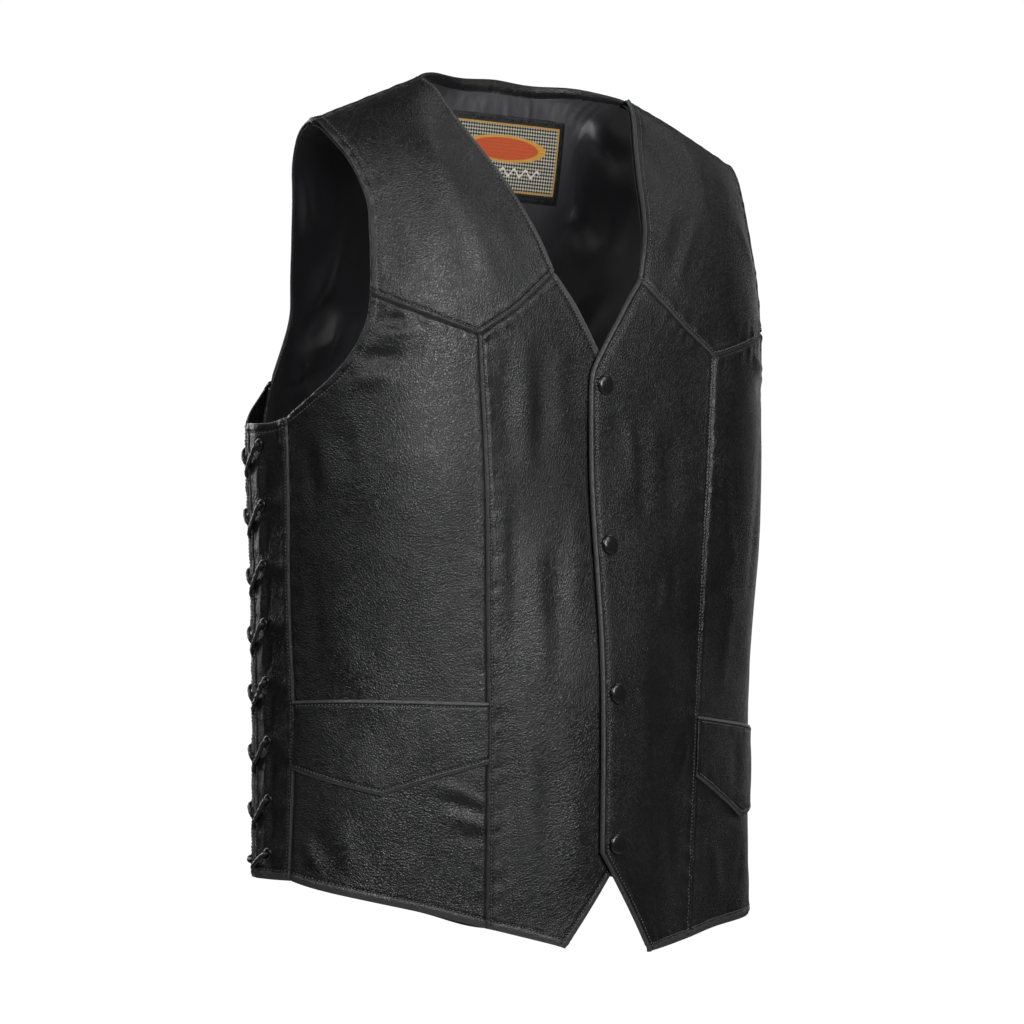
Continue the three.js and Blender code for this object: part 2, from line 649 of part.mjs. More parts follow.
// The leather edge turned in along the back neck
function neckBand() {
  const neck = backGrid().slice(0, 2).map((row) => row.slice(shoulderSteps, shoulderSteps + 2 * neckSteps + 1));
  return wall(neck, 1, liningOuter, liningOuter - satinWall, { top: seam, left: 1, right: 1 });
}

// The label's points, found on the lining's inner face and held off it towards the front
function labelLayer(lining, margin, off) {
  const { centre, halfWidth, top, height, columns, rows } = labelRows;
  return Array.from({ length: rows + 1 }, (unused, j) => {
    const z = top - margin - (j / rows) * (height - 2 * margin);
    return Array.from({ length: columns + 1 }, (unusedToo, k) => {
      const x = centre + (halfWidth - margin) * (1 - (2 * k) / columns);
      const ray = new THREE.Raycaster(new THREE.Vector3(x, -60, z), new THREE.Vector3(0, 1, 0));
      const [hit] = ray.intersectObject(lining);
      return hit.point.add(new THREE.Vector3(0, -off, 0));
    });
  });
}

function labelBacking(lining) {
  const layers = [labelSeat, labelSeat + labelRows.backing].map((off) => labelLayer(lining, 0, off));
  return wallBetween(...layers);
}

function labelWeave(lining) {
  const start = labelSeat + labelRows.backing + labelSeat;
  const layers = [start, start + labelRows.weave].map((off) => labelLayer(lining, labelRows.border, off));
  return wallBetween(...layers);
}

addPiece('back_panel', backPanel(), 'leather');
const backLining = addPiece('lining_back', liningBack(), 'satin');
addPiece('neck_band', neckBand(), 'leather');
addPiece('label_backing', labelBacking(backLining), 'leather');
addPiece('label_weave', labelWeave(backLining), 'weave');
sideNames.forEach((name, side) => {
  addPiece(`front_yoke_${name}`, frontYoke(side), 'leather');
  addPiece(`front_center_${name}`, frontCenter(side), 'leather');
  addPiece(`front_side_${name}`, frontSide(side), 'leather');
  addPiece(`pocket_band_${name}`, pocketBand(side), 'leather');
  addPiece(`lining_front_${name}`, liningFront(side), 'satin');
  addPiece(`lace_band_front_${name}`, laceBandFront(side), 'leather');
  addPiece(`lace_band_back_${name}`, laceBandBack(side), 'leather');
  addPiece(`side_lace_${name}`, sideLace(side), 'lace');
  eyeletLevels.forEach((level, k) => {
    addPiece(`eyelet_front_${name}_${k + 1}`, eyelet(side, -eyeletAcross.front, level), 'enamel');
    addPiece(`eyelet_back_${name}_${k + 1}`, eyelet(side, eyeletAcross.back, level), 'enamel');
  });
});
snapLevels.forEach((level, k) => addPiece(`snap_cap_${k + 1}`, snapCap(level), 'enamel'));

export default vest;
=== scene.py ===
import math

import bmesh
import bpy
import numpy as np
from mathutils import Matrix, Vector


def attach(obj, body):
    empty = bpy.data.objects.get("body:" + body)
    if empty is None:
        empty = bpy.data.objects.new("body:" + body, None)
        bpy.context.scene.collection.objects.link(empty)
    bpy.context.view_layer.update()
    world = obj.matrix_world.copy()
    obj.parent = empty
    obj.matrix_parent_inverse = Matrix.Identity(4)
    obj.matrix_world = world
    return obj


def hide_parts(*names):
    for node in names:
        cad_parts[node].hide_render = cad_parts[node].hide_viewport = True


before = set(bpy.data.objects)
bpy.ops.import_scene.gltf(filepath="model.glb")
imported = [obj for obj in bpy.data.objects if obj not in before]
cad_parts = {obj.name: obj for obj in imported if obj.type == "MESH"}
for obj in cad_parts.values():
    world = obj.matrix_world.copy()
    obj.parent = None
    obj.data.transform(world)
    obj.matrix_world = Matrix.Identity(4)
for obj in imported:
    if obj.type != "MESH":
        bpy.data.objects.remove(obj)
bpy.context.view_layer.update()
millimetre = 0.001

# Camera: a long lens at the photograph's angle
photoView = {"turn": 42.0, "rise": -5.16, "distance": 7740.0, "scale": 1.37, "aside": 8.1, "drop": 292.0,
             "pixels": 1024, "sensor": 36, "clip": 60}


# The way towards a viewer or a light, from its turn round the vest and its rise
def wayTo(turn, rise):
    return Vector((-math.sin(turn) * math.cos(rise), -math.cos(turn) * math.cos(rise), math.sin(rise)))


def addCamera(view):
    turn, rise = math.radians(view["turn"]), math.radians(view["rise"])
    back = wayTo(turn, rise)
    right = Vector((math.cos(turn), -math.sin(turn), 0))
    up = back.cross(right)
    eye = (back * view["distance"] - right * view["aside"] - up * view["drop"]) * millimetre
    data = bpy.data.cameras.new("photoCamera")
    data.sensor_width = view["sensor"]
    data.lens = view["sensor"] * view["scale"] * view["distance"] / view["pixels"]
    data.clip_end = view["clip"]
    camera = bpy.data.objects.new("photoCamera", data)
    camera.matrix_world = Matrix([(*row,) for row in zip(right, up, back, eye)]).to_4x4()
    bpy.context.scene.collection.objects.link(camera)
    bpy.context.scene.camera = camera


addCamera(photoView)
print("stage: camera")

# Body form: rings from the hem up, in millimetres
formColumns = ("height", "halfWidth", "front", "back", "middle", "backMiddle", "keel", "backPower")
formRows = np.array([
    (-620, 222.0, 78.5, 65, 23.5, 23.5, 38.6, 2.85),
    (-420, 214.0, 99, 74, 27.5, 27.5, 23.8, 2.9),
    (-250, 213.5, 110, 82, 19.5, 19.5, -7.9, 3.5),
    (-158, 213.5, 110, 70, 19.5, 19.5, -7.9, 2.8),
    (-110, 213.5, 110, 45, 19.5, 22, -7.9, 4.6),
    (-60, 213.5, 110, 21, 19.5, 25, -7.9, 7),
    (0, 213.5, 110, 11, 19.5, 25, -7.9, 8),
    (60, 213.5, 110, 5, 19.5, 25, -7.9, 8),
])
chestHeight = -158.0
frontPower = 2.85
closingPower = 1.665
crown = 215.0
keelWidth = 175.0
neckHeight = 17.4
neckHalfWidth = 100.0
shoulderSlope = 0.388
neckRise = 0.6
shoulderRoll = 45.0
hollow = {"depth": 0.33, "from": 40, "full": 170, "inner": 88, "outer": 135}
overlap = {"lift": 3.4, "turns": (0.05, 0.3), "levels": (-10, 70)}
flare = {"lift": 3.2, "front": (1.04, 1.26), "back": (1.36, 1.50), "down": (90, 200)}
quarter = math.pi / 2
turnLength = 220.0     # millimetres in a quarter turn, about
lineSteps = 24
smallTurn = 0.01


def smooth(x, low, high):
    s = np.clip((x - low) / (high - low), 0, 1)
    return s * s * (3 - 2 * s)


def formAt(height, column):
    heights, values = formRows[:, 0], formRows[:, formColumns.index(column)]
    rises = np.diff(values) / np.diff(heights)
    slopes = np.zeros(len(values))
    slopes[0] = rises[0]
    for k in range(1, len(rises)):
        below, above = rises[k - 1], rises[k]
        slopes[k] = 0 if below * above <= 0 else 2 * below * above / (below + above)
    z = np.clip(height, heights[0] - 20, heights[-1])
    row = np.clip(np.searchsorted(heights, z, side="right") - 1, 0, len(heights) - 2)
    span = heights[row + 1] - heights[row]
    s = (z - heights[row]) / span
    blend = s * s * (3 - 2 * s)
    curl = slopes[row] * s * (1 - s) ** 2 - slopes[row + 1] * s * s * (1 - s)
    return values[row] * (1 - blend) + values[row + 1] * blend + span * curl


def roundness(sine, cosine, power):
    return (np.abs(sine) ** power + np.abs(cosine) ** power) ** (-1 / power)


def shoulderHeight(x):
    return neckHeight - shoulderSlope * np.maximum(x - neckHalfWidth, 0)


def frontForm(turn, level):
    low = chestHeight + np.minimum(level, 0)
    sine, cosine = np.sin(turn * quarter), np.cos(turn * quarter)
    r = roundness(sine, cosine, frontPower)
    x = formAt(low, "halfWidth") * r * sine
    climb = np.clip(level / crown, 0, 1) * quarter
    closing = roundness(np.sin(climb), np.cos(climb), closingPower)
    up, depth = closing * np.sin(climb), closing * np.cos(climb)
    keel = np.clip(1 - (x / keelWidth) ** 2, 0, 1) ** 2
    sunk = smooth(level, hollow["from"], hollow["full"]) * (1 - smooth(x, hollow["inner"], hollow["outer"]))
    reach = (formAt(low, "front") + formAt(low, "keel") * keel) * r * cosine
    y = formAt(low, "middle") * (1 - up * up) - reach * depth * (1 - hollow["depth"] * sunk)
    return np.stack([x, y, low + (shoulderHeight(x) - chestHeight) * up], -1)


def backForm(turn, level):
    low = chestHeight + np.minimum(level, 0)
    sine, cosine = np.sin(turn * quarter), np.abs(np.cos(turn * quarter))
    x, z = np.zeros_like(low), low
    for _ in range(7):
        flank = shoulderHeight(x) + neckRise * np.maximum(neckHalfWidth - x, 0) - shoulderRoll - chestHeight
        length = np.clip(level / crown, 0, 1) * (flank + shoulderRoll * quarter)
        bend = np.clip((length - flank) / shoulderRoll, 0, quarter)
        high = chestHeight + np.where(length < flank, length, flank + shoulderRoll * np.sin(bend))
        z = np.where(level > 0, high, low)
        depth = np.where(level > 0, np.cos(bend), 1)
        r = roundness(sine, cosine, formAt(z, "backPower"))
        x = formAt(z, "halfWidth") * r * sine
    return np.stack([x, (formAt(z, "backMiddle") + formAt(z, "back") * r * cosine) * depth, z], -1)


# A point of the form: quarter turns from centre front, and cloth level above the chest ring
def formPoint(turn, level):
    turn, level = np.broadcast_arrays(np.asarray(turn, float), np.asarray(level, float))
    size = np.abs(turn)
    front = frontForm(np.minimum(size, 1), level)
    rear = backForm(np.clip(np.minimum(size, 4 - size), 1, 2), level)
    point = np.where((size <= 1)[..., None], front, rear)
    sign = np.where(turn < 0, -1, 1) * np.where(size > 2, -1, 1)
    point[..., 0] *= sign
    return point


def formNormal(turn, level):
    high = np.minimum(np.asarray(level, float) + 0.5, crown)
    along = formPoint(turn + 0.002, level) - formPoint(turn - 0.002, level)
    normal = np.cross(along, formPoint(turn, high) - formPoint(turn, high - 1))
    return normal / np.linalg.norm(normal, axis=-1, keepdims=True)


def frontLift(turn, level):
    return overlap["lift"] * (1 - smooth(turn, *overlap["turns"])) * (1 - smooth(level, *overlap["levels"]))


# The lace bands stand off a little where the armhole ends
def sideFlare(turn, level):
    across = smooth(turn, *flare["front"]) * (1 - smooth(turn, *flare["back"]))
    return flare["lift"] * across * (1 - smooth(-level, *flare["down"]))


def clothPoint(side, turn, level, out=0.0):
    turn, level = np.asarray(turn, float), np.asarray(level, float)
    lift = sideFlare(turn, level) + (frontLift(turn, level) if side > 0 else 0.0)
    return formPoint(side * turn, level) + formNormal(side * turn, level) * (np.asarray(out) + lift)[..., None]


# A smooth line through points, each span cut into steps
def splineLine(points, steps):
    chain = np.vstack([2 * points[0] - points[1], points, 2 * points[-1] - points[-2]])
    line = []
    for k in range(len(points) - 1):
        p0, p1, p2, p3 = chain[k:k + 4]
        d0, d1, d2 = (max(np.linalg.norm((b - a)[:3]) ** 0.5, 1e-4) for a, b in ((p0, p1), (p1, p2), (p2, p3)))
        m1 = d1 * ((p1 - p0) / d0 - (p2 - p0) / (d0 + d1) + (p2 - p1) / d1)
        m2 = d1 * ((p2 - p1) / d1 - (p3 - p1) / (d1 + d2) + (p3 - p2) / d2)
        s = np.arange(steps)[:, None] / steps
        line.append(p1 * (2 * s**3 - 3 * s**2 + 1) + m1 * (s**3 - 2 * s**2 + s)
                    + p2 * (3 * s**2 - 2 * s**3) + m2 * (s**3 - s**2))
    return np.vstack(line + [points[-1:]])


# Cut lines of the half pattern as (turn, level)
def curveLine(rows):
    return splineLine(np.array(rows, float) * (100, 1), lineSteps) / (100, 1)


def straightLine(rows):
    rows = np.array(rows, float)
    s = np.arange(lineSteps)[:, None] / lineSteps
    return np.vstack([a * (1 - s) + b * s for a, b in zip(rows, rows[1:])] + [rows[-1:]])


def joinLines(*lines):
    return np.vstack([lines[0]] + [line[1:] for line in lines[1:]])


def lineSpans(line):
    return np.hypot(np.diff(line[:, 0]) * turnLength, np.diff(line[:, 1]))


def lineShares(line):
    steps = lineSpans(line)
    return np.concatenate([[0], np.cumsum(steps)]) / steps.sum()


def onLine(line, share):
    shares = lineShares(line)
    return np.stack([np.interp(share, shares, line[:, 0]), np.interp(share, shares, line[:, 1])], -1)


def cornerShare(first, *others):
    lengths = [lineSpans(line).sum() for line in (first, *others)]
    return lengths[0] / sum(lengths)


def turnAt(line, level):
    order = np.argsort(line[:, 1])
    return np.interp(level, line[order, 1], line[order, 0])


def mirrored(line):
    return line * (-1, 1) + (4, 0)


overlapTurn = 0.036
neckline = curveLine([(0.290, 215), (0.261, 160), (0.234, 129), (0.201, 98), (0.165, 62), (0.118, 25)])
frontEdgeTop = curveLine([(0.118, 25), (0.055, 4), (0.010, -17), (-0.029, -39), (-0.035, -51),
                          (-overlapTurn, -80)])
frontEdge = straightLine([(-overlapTurn, -80), (-overlapTurn, -388)])
hemPoint = straightLine([(-overlapTurn, -388), (0.110, -457)])
hemInner = straightLine([(0.110, -457), (0.276, -444)])
hemOuter = curveLine([(0.276, -444), (0.425, -432), (0.862, -411)])
yokeInner = straightLine([(0.118, 25), (0.333, -20)])
yokeOuter = straightLine([(0.333, -20), (0.610, 6)])
panelSeam = joinLines(straightLine([(0.333, -20), (0.3185, -102)]),
                      curveLine([(0.3185, -102), (0.312, -139), (0.296, -281), (0.276, -444)]))
frontArmhole = curveLine([(0.708, 215), (0.672, 167), (0.625, 131), (0.591, 83), (0.597, 54), (0.610, 6)])
underarm = curveLine([(0.610, 6), (0.618, -10), (0.643, -25.5), (0.693, -41.7), (0.764, -55.5), (0.862, -67.3),
                      (0.985, -79)])
sideSeam = curveLine([(0.985, -79), (0.938, -182), (0.873, -284), (0.862, -332), (0.862, -411)])
laceGap = np.array([(1.334, -80), (1.296, -188), (1.259, -268), (1.234, -352), (1.232, -407)])
backSeam = curveLine([(1.492, -45), (1.462, -188), (1.420, -284), (1.392, -352), (1.386, -406)])
backArmhole = curveLine([(1.465, 215), (1.490, 181), (1.510, 155), (1.525, 126), (1.540, 80), (1.543, 40),
                         (1.520, -5), (1.492, -45)])
backNeck = curveLine([(2.0, 152), (1.911, 162), (1.854, 171.5), (1.772, 192), (1.740, 204), (1.721, 215)])
frontShoulder = straightLine([(0.290, 215), (0.708, 215)])
backShoulder = straightLine([(1.465, 215), (1.721, 215)])
backHem = curveLine([(1.386, -406), (1.54, -391), (1.72, -388), (2.0, -388)])


def besideGap(across, level):
    level = np.asarray(level, float)
    middle = turnAt(laceGap, level)
    girth = np.linalg.norm(formPoint(middle + smallTurn, level) - formPoint(middle, level), axis=-1) / smallTurn
    return np.stack([middle + across / girth, level], -1)


latticeSize = 32


# Seeded value noise that is smooth between the cells of a lattice
def softNoise(points, size, seed):
    lattice = np.random.default_rng(seed).random((latticeSize,) * 3) * 2 - 1
    q = points / size + 100
    cell = np.floor(q).astype(int)
    f = q - cell
    w = f * f * (3 - 2 * f)
    total = 0
    for corner in np.ndindex(2, 2, 2):
        index = (cell + corner) % latticeSize
        weight = np.prod(np.where(corner, w, 1 - w), axis=-1)
        total = total + lattice[index[..., 0], index[..., 1], index[..., 2]] * weight
    return total


edgeOffsets = np.array([0, 0.5, 1.1, 1.9, 2.6, 3.3, 4.2, 5.3, 6.2, 7.2, 9.0])


# Positions across a width, dense beside both edges
def spread(width, cells):
    squeeze = np.minimum(width / (2.6 * edgeOffsets[-1]), 1)[..., None]
    near = edgeOffsets * squeeze
    middle = np.linspace(0, 1, cells + 1)[1:-1]
    inner = near[..., -1:] + (width[..., None] - 2 * near[..., -1:]) * middle
    return np.concatenate([near, inner, width[..., None] - near[..., ::-1]], -1) / width[..., None]


def places(lines, u, v):
    top, bottom, left, right = (onLine(line, share) for line, share in zip(lines, (u, u, v, v)))
    a, b = u[..., None], v[..., None]
    first, last = lines[0], lines[1]
    corners = ((1 - a) * (1 - b) * first[0] + a * (1 - b) * first[-1]
               + (1 - a) * b * last[0] + a * b * last[-1])
    return (1 - b) * top + b * bottom + (1 - a) * left + a * right - corners


def pinned(values, stops):
    knots, targets = [0], [0]
    for stop in sorted(stops):
        knots.append(int(np.abs(values.mean(0) - stop).argmin()))
        targets.append(stop)
    knots.append(values.shape[1] - 1)
    targets.append(1)
    for line in values:
        line[:] = np.interp(line, line[knots], targets)
    return values


def runLengths(points, axis):
    steps = np.linalg.norm(np.diff(points, axis=axis), axis=-1)
    start = np.zeros_like(np.take(steps, [0], axis=axis))
    return np.concatenate([start, np.cumsum(steps, axis=axis)], axis=axis)


# The fine grid of a panel between its four cut lines, with each point's distance from every edge
def panelGrid(side, lines, step, acrossStops=(), downStops=()):
    share = np.linspace(0, 1, lineSteps + 1)
    uu, vv = np.meshgrid(share, share)
    rough = places(lines, uu, vv)
    roughPoints = clothPoint(side, rough[..., 0], rough[..., 1])
    widths = runLengths(roughPoints, 1)[:, -1]
    heights = runLengths(roughPoints, 0)[-1]
    columns = max(int(widths.max() / step), 2)
    rows = max(int(heights.max() / step), 2)
    rowCount, columnCount = rows + 2 * len(edgeOffsets) - 1, columns + 2 * len(edgeOffsets) - 1
    v0 = np.linspace(0, 1, rowCount)
    u0 = np.linspace(0, 1, columnCount)
    u = pinned(spread(np.interp(v0, share, widths), columns), acrossStops)
    v = pinned(spread(np.interp(u0, share, heights), rows), downStops).T
    place = places(lines, u, v)
    turn, level = place[..., 0], place[..., 1]
    base = clothPoint(side, turn, level)
    across, down = runLengths(base, 1), runLengths(base, 0)
    return {
        "side": side, "turn": turn, "level": level, "u": u, "v": v, "base": base,
        "normal": formNormal(side * turn, level), "across": across, "down": down,
        "left": across, "right": across[:, -1:] - across, "top": down, "bottom": down[-1:] - down,
    }


def fromEdges(grid):
    return np.minimum.reduce([grid[name] for name in ("left", "right", "top", "bottom")])


def flatSize(grid):
    a, b, c, d = (grid["base"][j, k] for j, k in (
        (slice(None, -1), slice(None, -1)), (slice(None, -1), slice(1, None)),
        (slice(1, None), slice(1, None)), (slice(1, None), slice(None, -1))))
    area = 0.5 * np.linalg.norm(np.cross(c - a, d - b), axis=-1).sum() * millimetre**2
    width, length = grid["across"][:, -1].max() * millimetre, grid["down"][-1].max() * millimetre
    return (width, length), min(area, width * length)


def hump(x, centre, width):
    return np.exp(-(((x - centre) / width) ** 2))


# How the leather lies beside its edges: humps as height, distance and width in millimetres
edgeShapes = {
    "sewn": ((-1.2, 0, 1.3), (0.25, 5, 3)),
    "stitched": ((-1.1, 0, 0.8), (0.5, 1.7, 1.1), (-0.45, 3.3, 0.8), (0.35, 6, 2.4)),
    "rolled": ((-1.0, 0, 2.0), (-0.7, 6.2, 1.1)),
    "tucked": ((-0.35, 0, 0.9), (-0.8, 6.2, 1.1)),
    "lapel": ((-0.6, 6.2, 1.0), (0.3, 8.6, 2)),
    "beaded": ((1.2, 1.4, 1.25), (-0.5, 0, 0.5), (-0.8, 4.0, 0.9), (-0.5, 6.2, 0.9)),
    "plain": ((-0.35, 0, 0.9),),
    "laid": ((-0.5, 0, 1.0), (0.3, 1.9, 1.0), (-0.4, 3.4, 0.8)),
}
turnedIn = {"heights": {"rolled": 0.55, "tucked": 0.35}, "from": 6.2, "to": 9.6}
lapelRoll = {"drop": 2.1, "width": 5.8}
pucker = {"distance": 4.5, "width": 7, "power": 1.3, "clear": (0.4, 3)}
puckerSizes = {"sewn": 0.25, "stitched": 0.32, "rolled": 0.24, "tucked": 0.4, "lapel": 0.15, "beaded": 0.18,
               "plain": 0.0, "laid": 0.2}


def edgeHeight(kind, d):
    height = sum(size * hump(d, centre, width) for size, centre, width in edgeShapes[kind])
    height = height + turnedIn["heights"].get(kind, 0) * (1 - smooth(d, turnedIn["from"], turnedIn["to"]))
    if kind == "lapel":
        height = height - lapelRoll["drop"] * np.clip(1 - d / lapelRoll["width"], 0, 1) ** 2
    return height


def ripple(run, seed):
    phases = np.random.default_rng(seed).random(4) * 6.28
    return (np.sin(run / 2.1 + phases[0] + 1.7 * np.sin(run / 9.7 + phases[1]))
            + 0.6 * np.sin(run / 3.7 + phases[2] + 2.1 * np.sin(run / 17 + phases[3])))


# Painted highlight: turned edges are painted a little lighter than the panel over this width, standing in for
# light caught by the rolled edges
edgeHighlightWidths = {"rolled": 5.6, "lapel": 5.6, "beaded": 2.9, "laid": 1.9, "stitched": 1.8}


def edgeRelief(grid, edges, seed):
    total, edgeHighlight = np.zeros_like(grid["u"]), np.zeros_like(grid["u"])
    for n, (name, kinds) in enumerate(edges.items()):
        d = grid[name]
        share, run = (grid["v"], grid["down"]) if name in ("left", "right") else (grid["u"], grid["across"])
        for kind, start, end in kinds:
            there = (share >= start) * (share < end) if end < 1 else (share >= start) * 1.0
            beside = np.exp(-(np.abs(d - pucker["distance"]) / pucker["width"]) ** pucker["power"])
            size = puckerSizes[kind] * beside * smooth(d, *pucker["clear"])
            total = total + there * (edgeHeight(kind, d) + size * ripple(run, seed + 7 * n))
            # The mask of the painted highlight along the turned edges
            if kind in edgeHighlightWidths:
                edgeHighlight = np.maximum(edgeHighlight, there * (1 - smooth(d, edgeHighlightWidths[kind] - 1, edgeHighlightWidths[kind])))
    grid["edgeHighlight"] = edgeHighlight
    return total


foldSteps = 16
foldTurn = 300.0       # millimetres in a quarter turn, for the slant of a fold


# Folds as (turn, level) of both ends, sideways bow, half width and height in millimetres
def foldRelief(grid, folds):
    total = np.zeros_like(grid["u"])
    for (turnA, levelA, turnB, levelB, bow, width, height) in folds:
        s = np.linspace(0, 1, foldSteps + 1)
        bend = 4 * s * (1 - s) * bow
        reach = np.array([(turnB - turnA) * foldTurn, levelB - levelA])
        aside = np.array([-reach[1], reach[0]]) / max(np.hypot(*reach), 1)
        turn = turnA + (turnB - turnA) * s + bend * aside[0] / foldTurn
        level = levelA + (levelB - levelA) * s + bend * aside[1]
        spine = clothPoint(grid["side"], turn, level)
        best = np.full(grid["u"].shape, 1e9)
        where = np.zeros_like(best)
        for k in range(foldSteps):
            a, b = spine[k], spine[k + 1]
            t = np.clip(((grid["base"] - a) @ (b - a)) / ((b - a) @ (b - a)), 0, 1)
            d = np.linalg.norm(grid["base"] - a - t[..., None] * (b - a), axis=-1)
            nearer = d < best
            best[nearer], where[nearer] = d[nearer], ((k + t) / foldSteps)[nearer]
        taper = np.sin(np.pi * np.clip(where, 0.02, 0.98)) ** 0.8
        total += height * taper * np.exp(-(best / width) ** 2)
    return total


finishes = {}
rimAngles = (math.pi / 4, math.pi / 2, 3 * math.pi / 4)


def makePiece(name, points, faces, finish, uv=None):
    mesh = bpy.data.meshes.new(name)
    mesh.from_pydata((points * millimetre).tolist(), [], faces.tolist() if hasattr(faces, "tolist") else faces)
    if uv is not None:
        layer = mesh.uv_layers.new(name="UVMap")
        index = np.empty(len(mesh.loops), dtype=int)
        mesh.loops.foreach_get("vertex_index", index)
        layer.data.foreach_set("uv", uv[index].ravel())
    mesh.polygons.foreach_set("use_smooth", [True] * len(mesh.polygons))
    mesh.materials.append(finishes[finish])
    mesh.update()
    piece = bpy.data.objects.new(name, mesh)
    bpy.context.scene.collection.objects.link(piece)
    return piece


# A closed wall on a grid, its edges rounded over
def wallPiece(name, grid, thickness, finish, bulge=0.6):
    outer = grid["base"] + grid["normal"] * grid["out"][..., None]
    inner = outer - grid["normal"] * thickness
    rows, columns = grid["out"].shape
    index = np.arange(rows * columns).reshape(rows, columns)
    quads = np.stack([index[:-1, :-1], index[:-1, 1:], index[1:, 1:], index[1:, :-1]], -1).reshape(-1, 4)
    loop = np.concatenate([index[0, :-1], index[:-1, -1], index[-1, :0:-1], index[:0:-1, 0]])
    inward = np.concatenate([index[1, :-1], index[:-1, -2], index[-2, :0:-1], index[:0:-1, 1]])
    inward[0], inward[columns - 1] = index[1, 1], index[1, -2]
    inward[columns + rows - 2], inward[2 * columns + rows - 3] = index[-2, -2], index[-2, 1]
    flatOuter, flatInner = outer.reshape(-1, 3), inner.reshape(-1, 3)
    away = flatOuter[loop] - flatOuter[inward]
    away /= np.linalg.norm(away, axis=-1, keepdims=True)
    middle = (flatOuter[loop] + flatInner[loop]) / 2
    half = (flatOuter[loop] - flatInner[loop]) / 2
    rings = [middle + half * math.cos(a) + away * bulge * math.sin(a) * thickness / 2 for a in rimAngles]
    count = rows * columns
    chain = [loop] + [2 * count + n * len(loop) + np.arange(len(loop)) for n in range(len(rings))] + [loop + count]
    rim = [np.stack([a, b, np.roll(b, -1), np.roll(a, -1)], -1) for a, b in zip(chain, chain[1:])]
    faces = np.vstack([quads, quads[:, ::-1] + count] + rim)
    if grid["side"] > 0:
        faces = faces[:, ::-1]
    across, down = grid["across"].ravel(), grid["down"].ravel()
    flatUv = np.stack([across, down], -1) * millimetre
    uv = np.vstack([flatUv, flatUv] + [flatUv[loop]] * len(rings))
    piece = makePiece(name, np.vstack([flatOuter, flatInner] + rings), faces, finish, uv)
    # Carry the painted-highlight mask of the turned edges to the shader
    if "edgeHighlight" in grid:
        edgeHighlight = grid["edgeHighlight"].ravel()
        values = np.concatenate([edgeHighlight, edgeHighlight] + [edgeHighlight[loop]] * len(rings))
        piece.data.attributes.new("edgeHighlight", "FLOAT", "POINT").data.foreach_set("value", values)
    return piece


# Shader helpers
def newMaterial(name):
    material = bpy.data.materials.new(name)
    material.use_nodes = True
    tree = material.node_tree
    return material, tree, tree.nodes["Principled BSDF"]


def addNode(tree, kind, inputs=(), **settings):
    node = tree.nodes.new(kind)
    for key, value in settings.items():
        setattr(node, key, value)
    for key, value in dict(inputs).items():
        if isinstance(value, bpy.types.NodeSocket):
            tree.links.new(value, node.inputs[key])
        else:
            node.inputs[key].default_value = value
    return node


def ramp(tree, value, low, high, fromMin=0.0, fromMax=1.0):
    node = addNode(tree, "ShaderNodeMapRange", {"Value": value, "From Min": fromMin, "From Max": fromMax,
                                                "To Min": low, "To Max": high})
    return node.outputs["Result"]


def mathNode(tree, operation, a, b=0.0):
    return addNode(tree, "ShaderNodeMath", {0: a, 1: b}, operation=operation).outputs[0]


def mixColor(tree, factor, a, b):
    return addNode(tree, "ShaderNodeMix", {0: factor, 6: a, 7: b}, data_type="RGBA").outputs[2]


def noise(tree, place, scale, detail, output="Fac", **more):
    inputs = {"Vector": place, "Scale": scale, "Detail": detail, **more}
    return addNode(tree, "ShaderNodeTexNoise", inputs).outputs[output]


def bumped(tree, strength, distance, height, **more):
    inputs = {"Strength": strength, "Distance": distance, "Height": height, **more}
    return addNode(tree, "ShaderNodeBump", inputs).outputs["Normal"]


def dress(tree, shader, **values):
    for key, value in values.items():
        name = {"color": "Base Color", "rough": "Roughness", "normal": "Normal"}[key]
        tree.links.new(value, shader.inputs[name])


leatherLook = {
    "dark": (0.0045, 0.0045, 0.0048, 1), "light": (0.0125, 0.0126, 0.0132, 1),
    # The lighter edge colour is a painted highlight along the turned edges
    "edgeHighlight": (0.070, 0.070, 0.072, 1), "pore": (0.002, 0.002, 0.002, 1),
    "roughness": (0.29, 0.39), "worn": 0.5, "specular": 0.5, "patch": 11, "bend": 170, "warp": 0.0025,
    "grain": 500, "fine": 1300, "drift": 26, "depth": 0.00025,
    "shares": {"pebble": 0.50, "crease": 0.32, "fine": 0.10},
    "crease": {"scale": 260, "stretch": 2.4, "width": 0.07, "ways": ((0.85, 0.0), (-0.75, 3.7))},
}
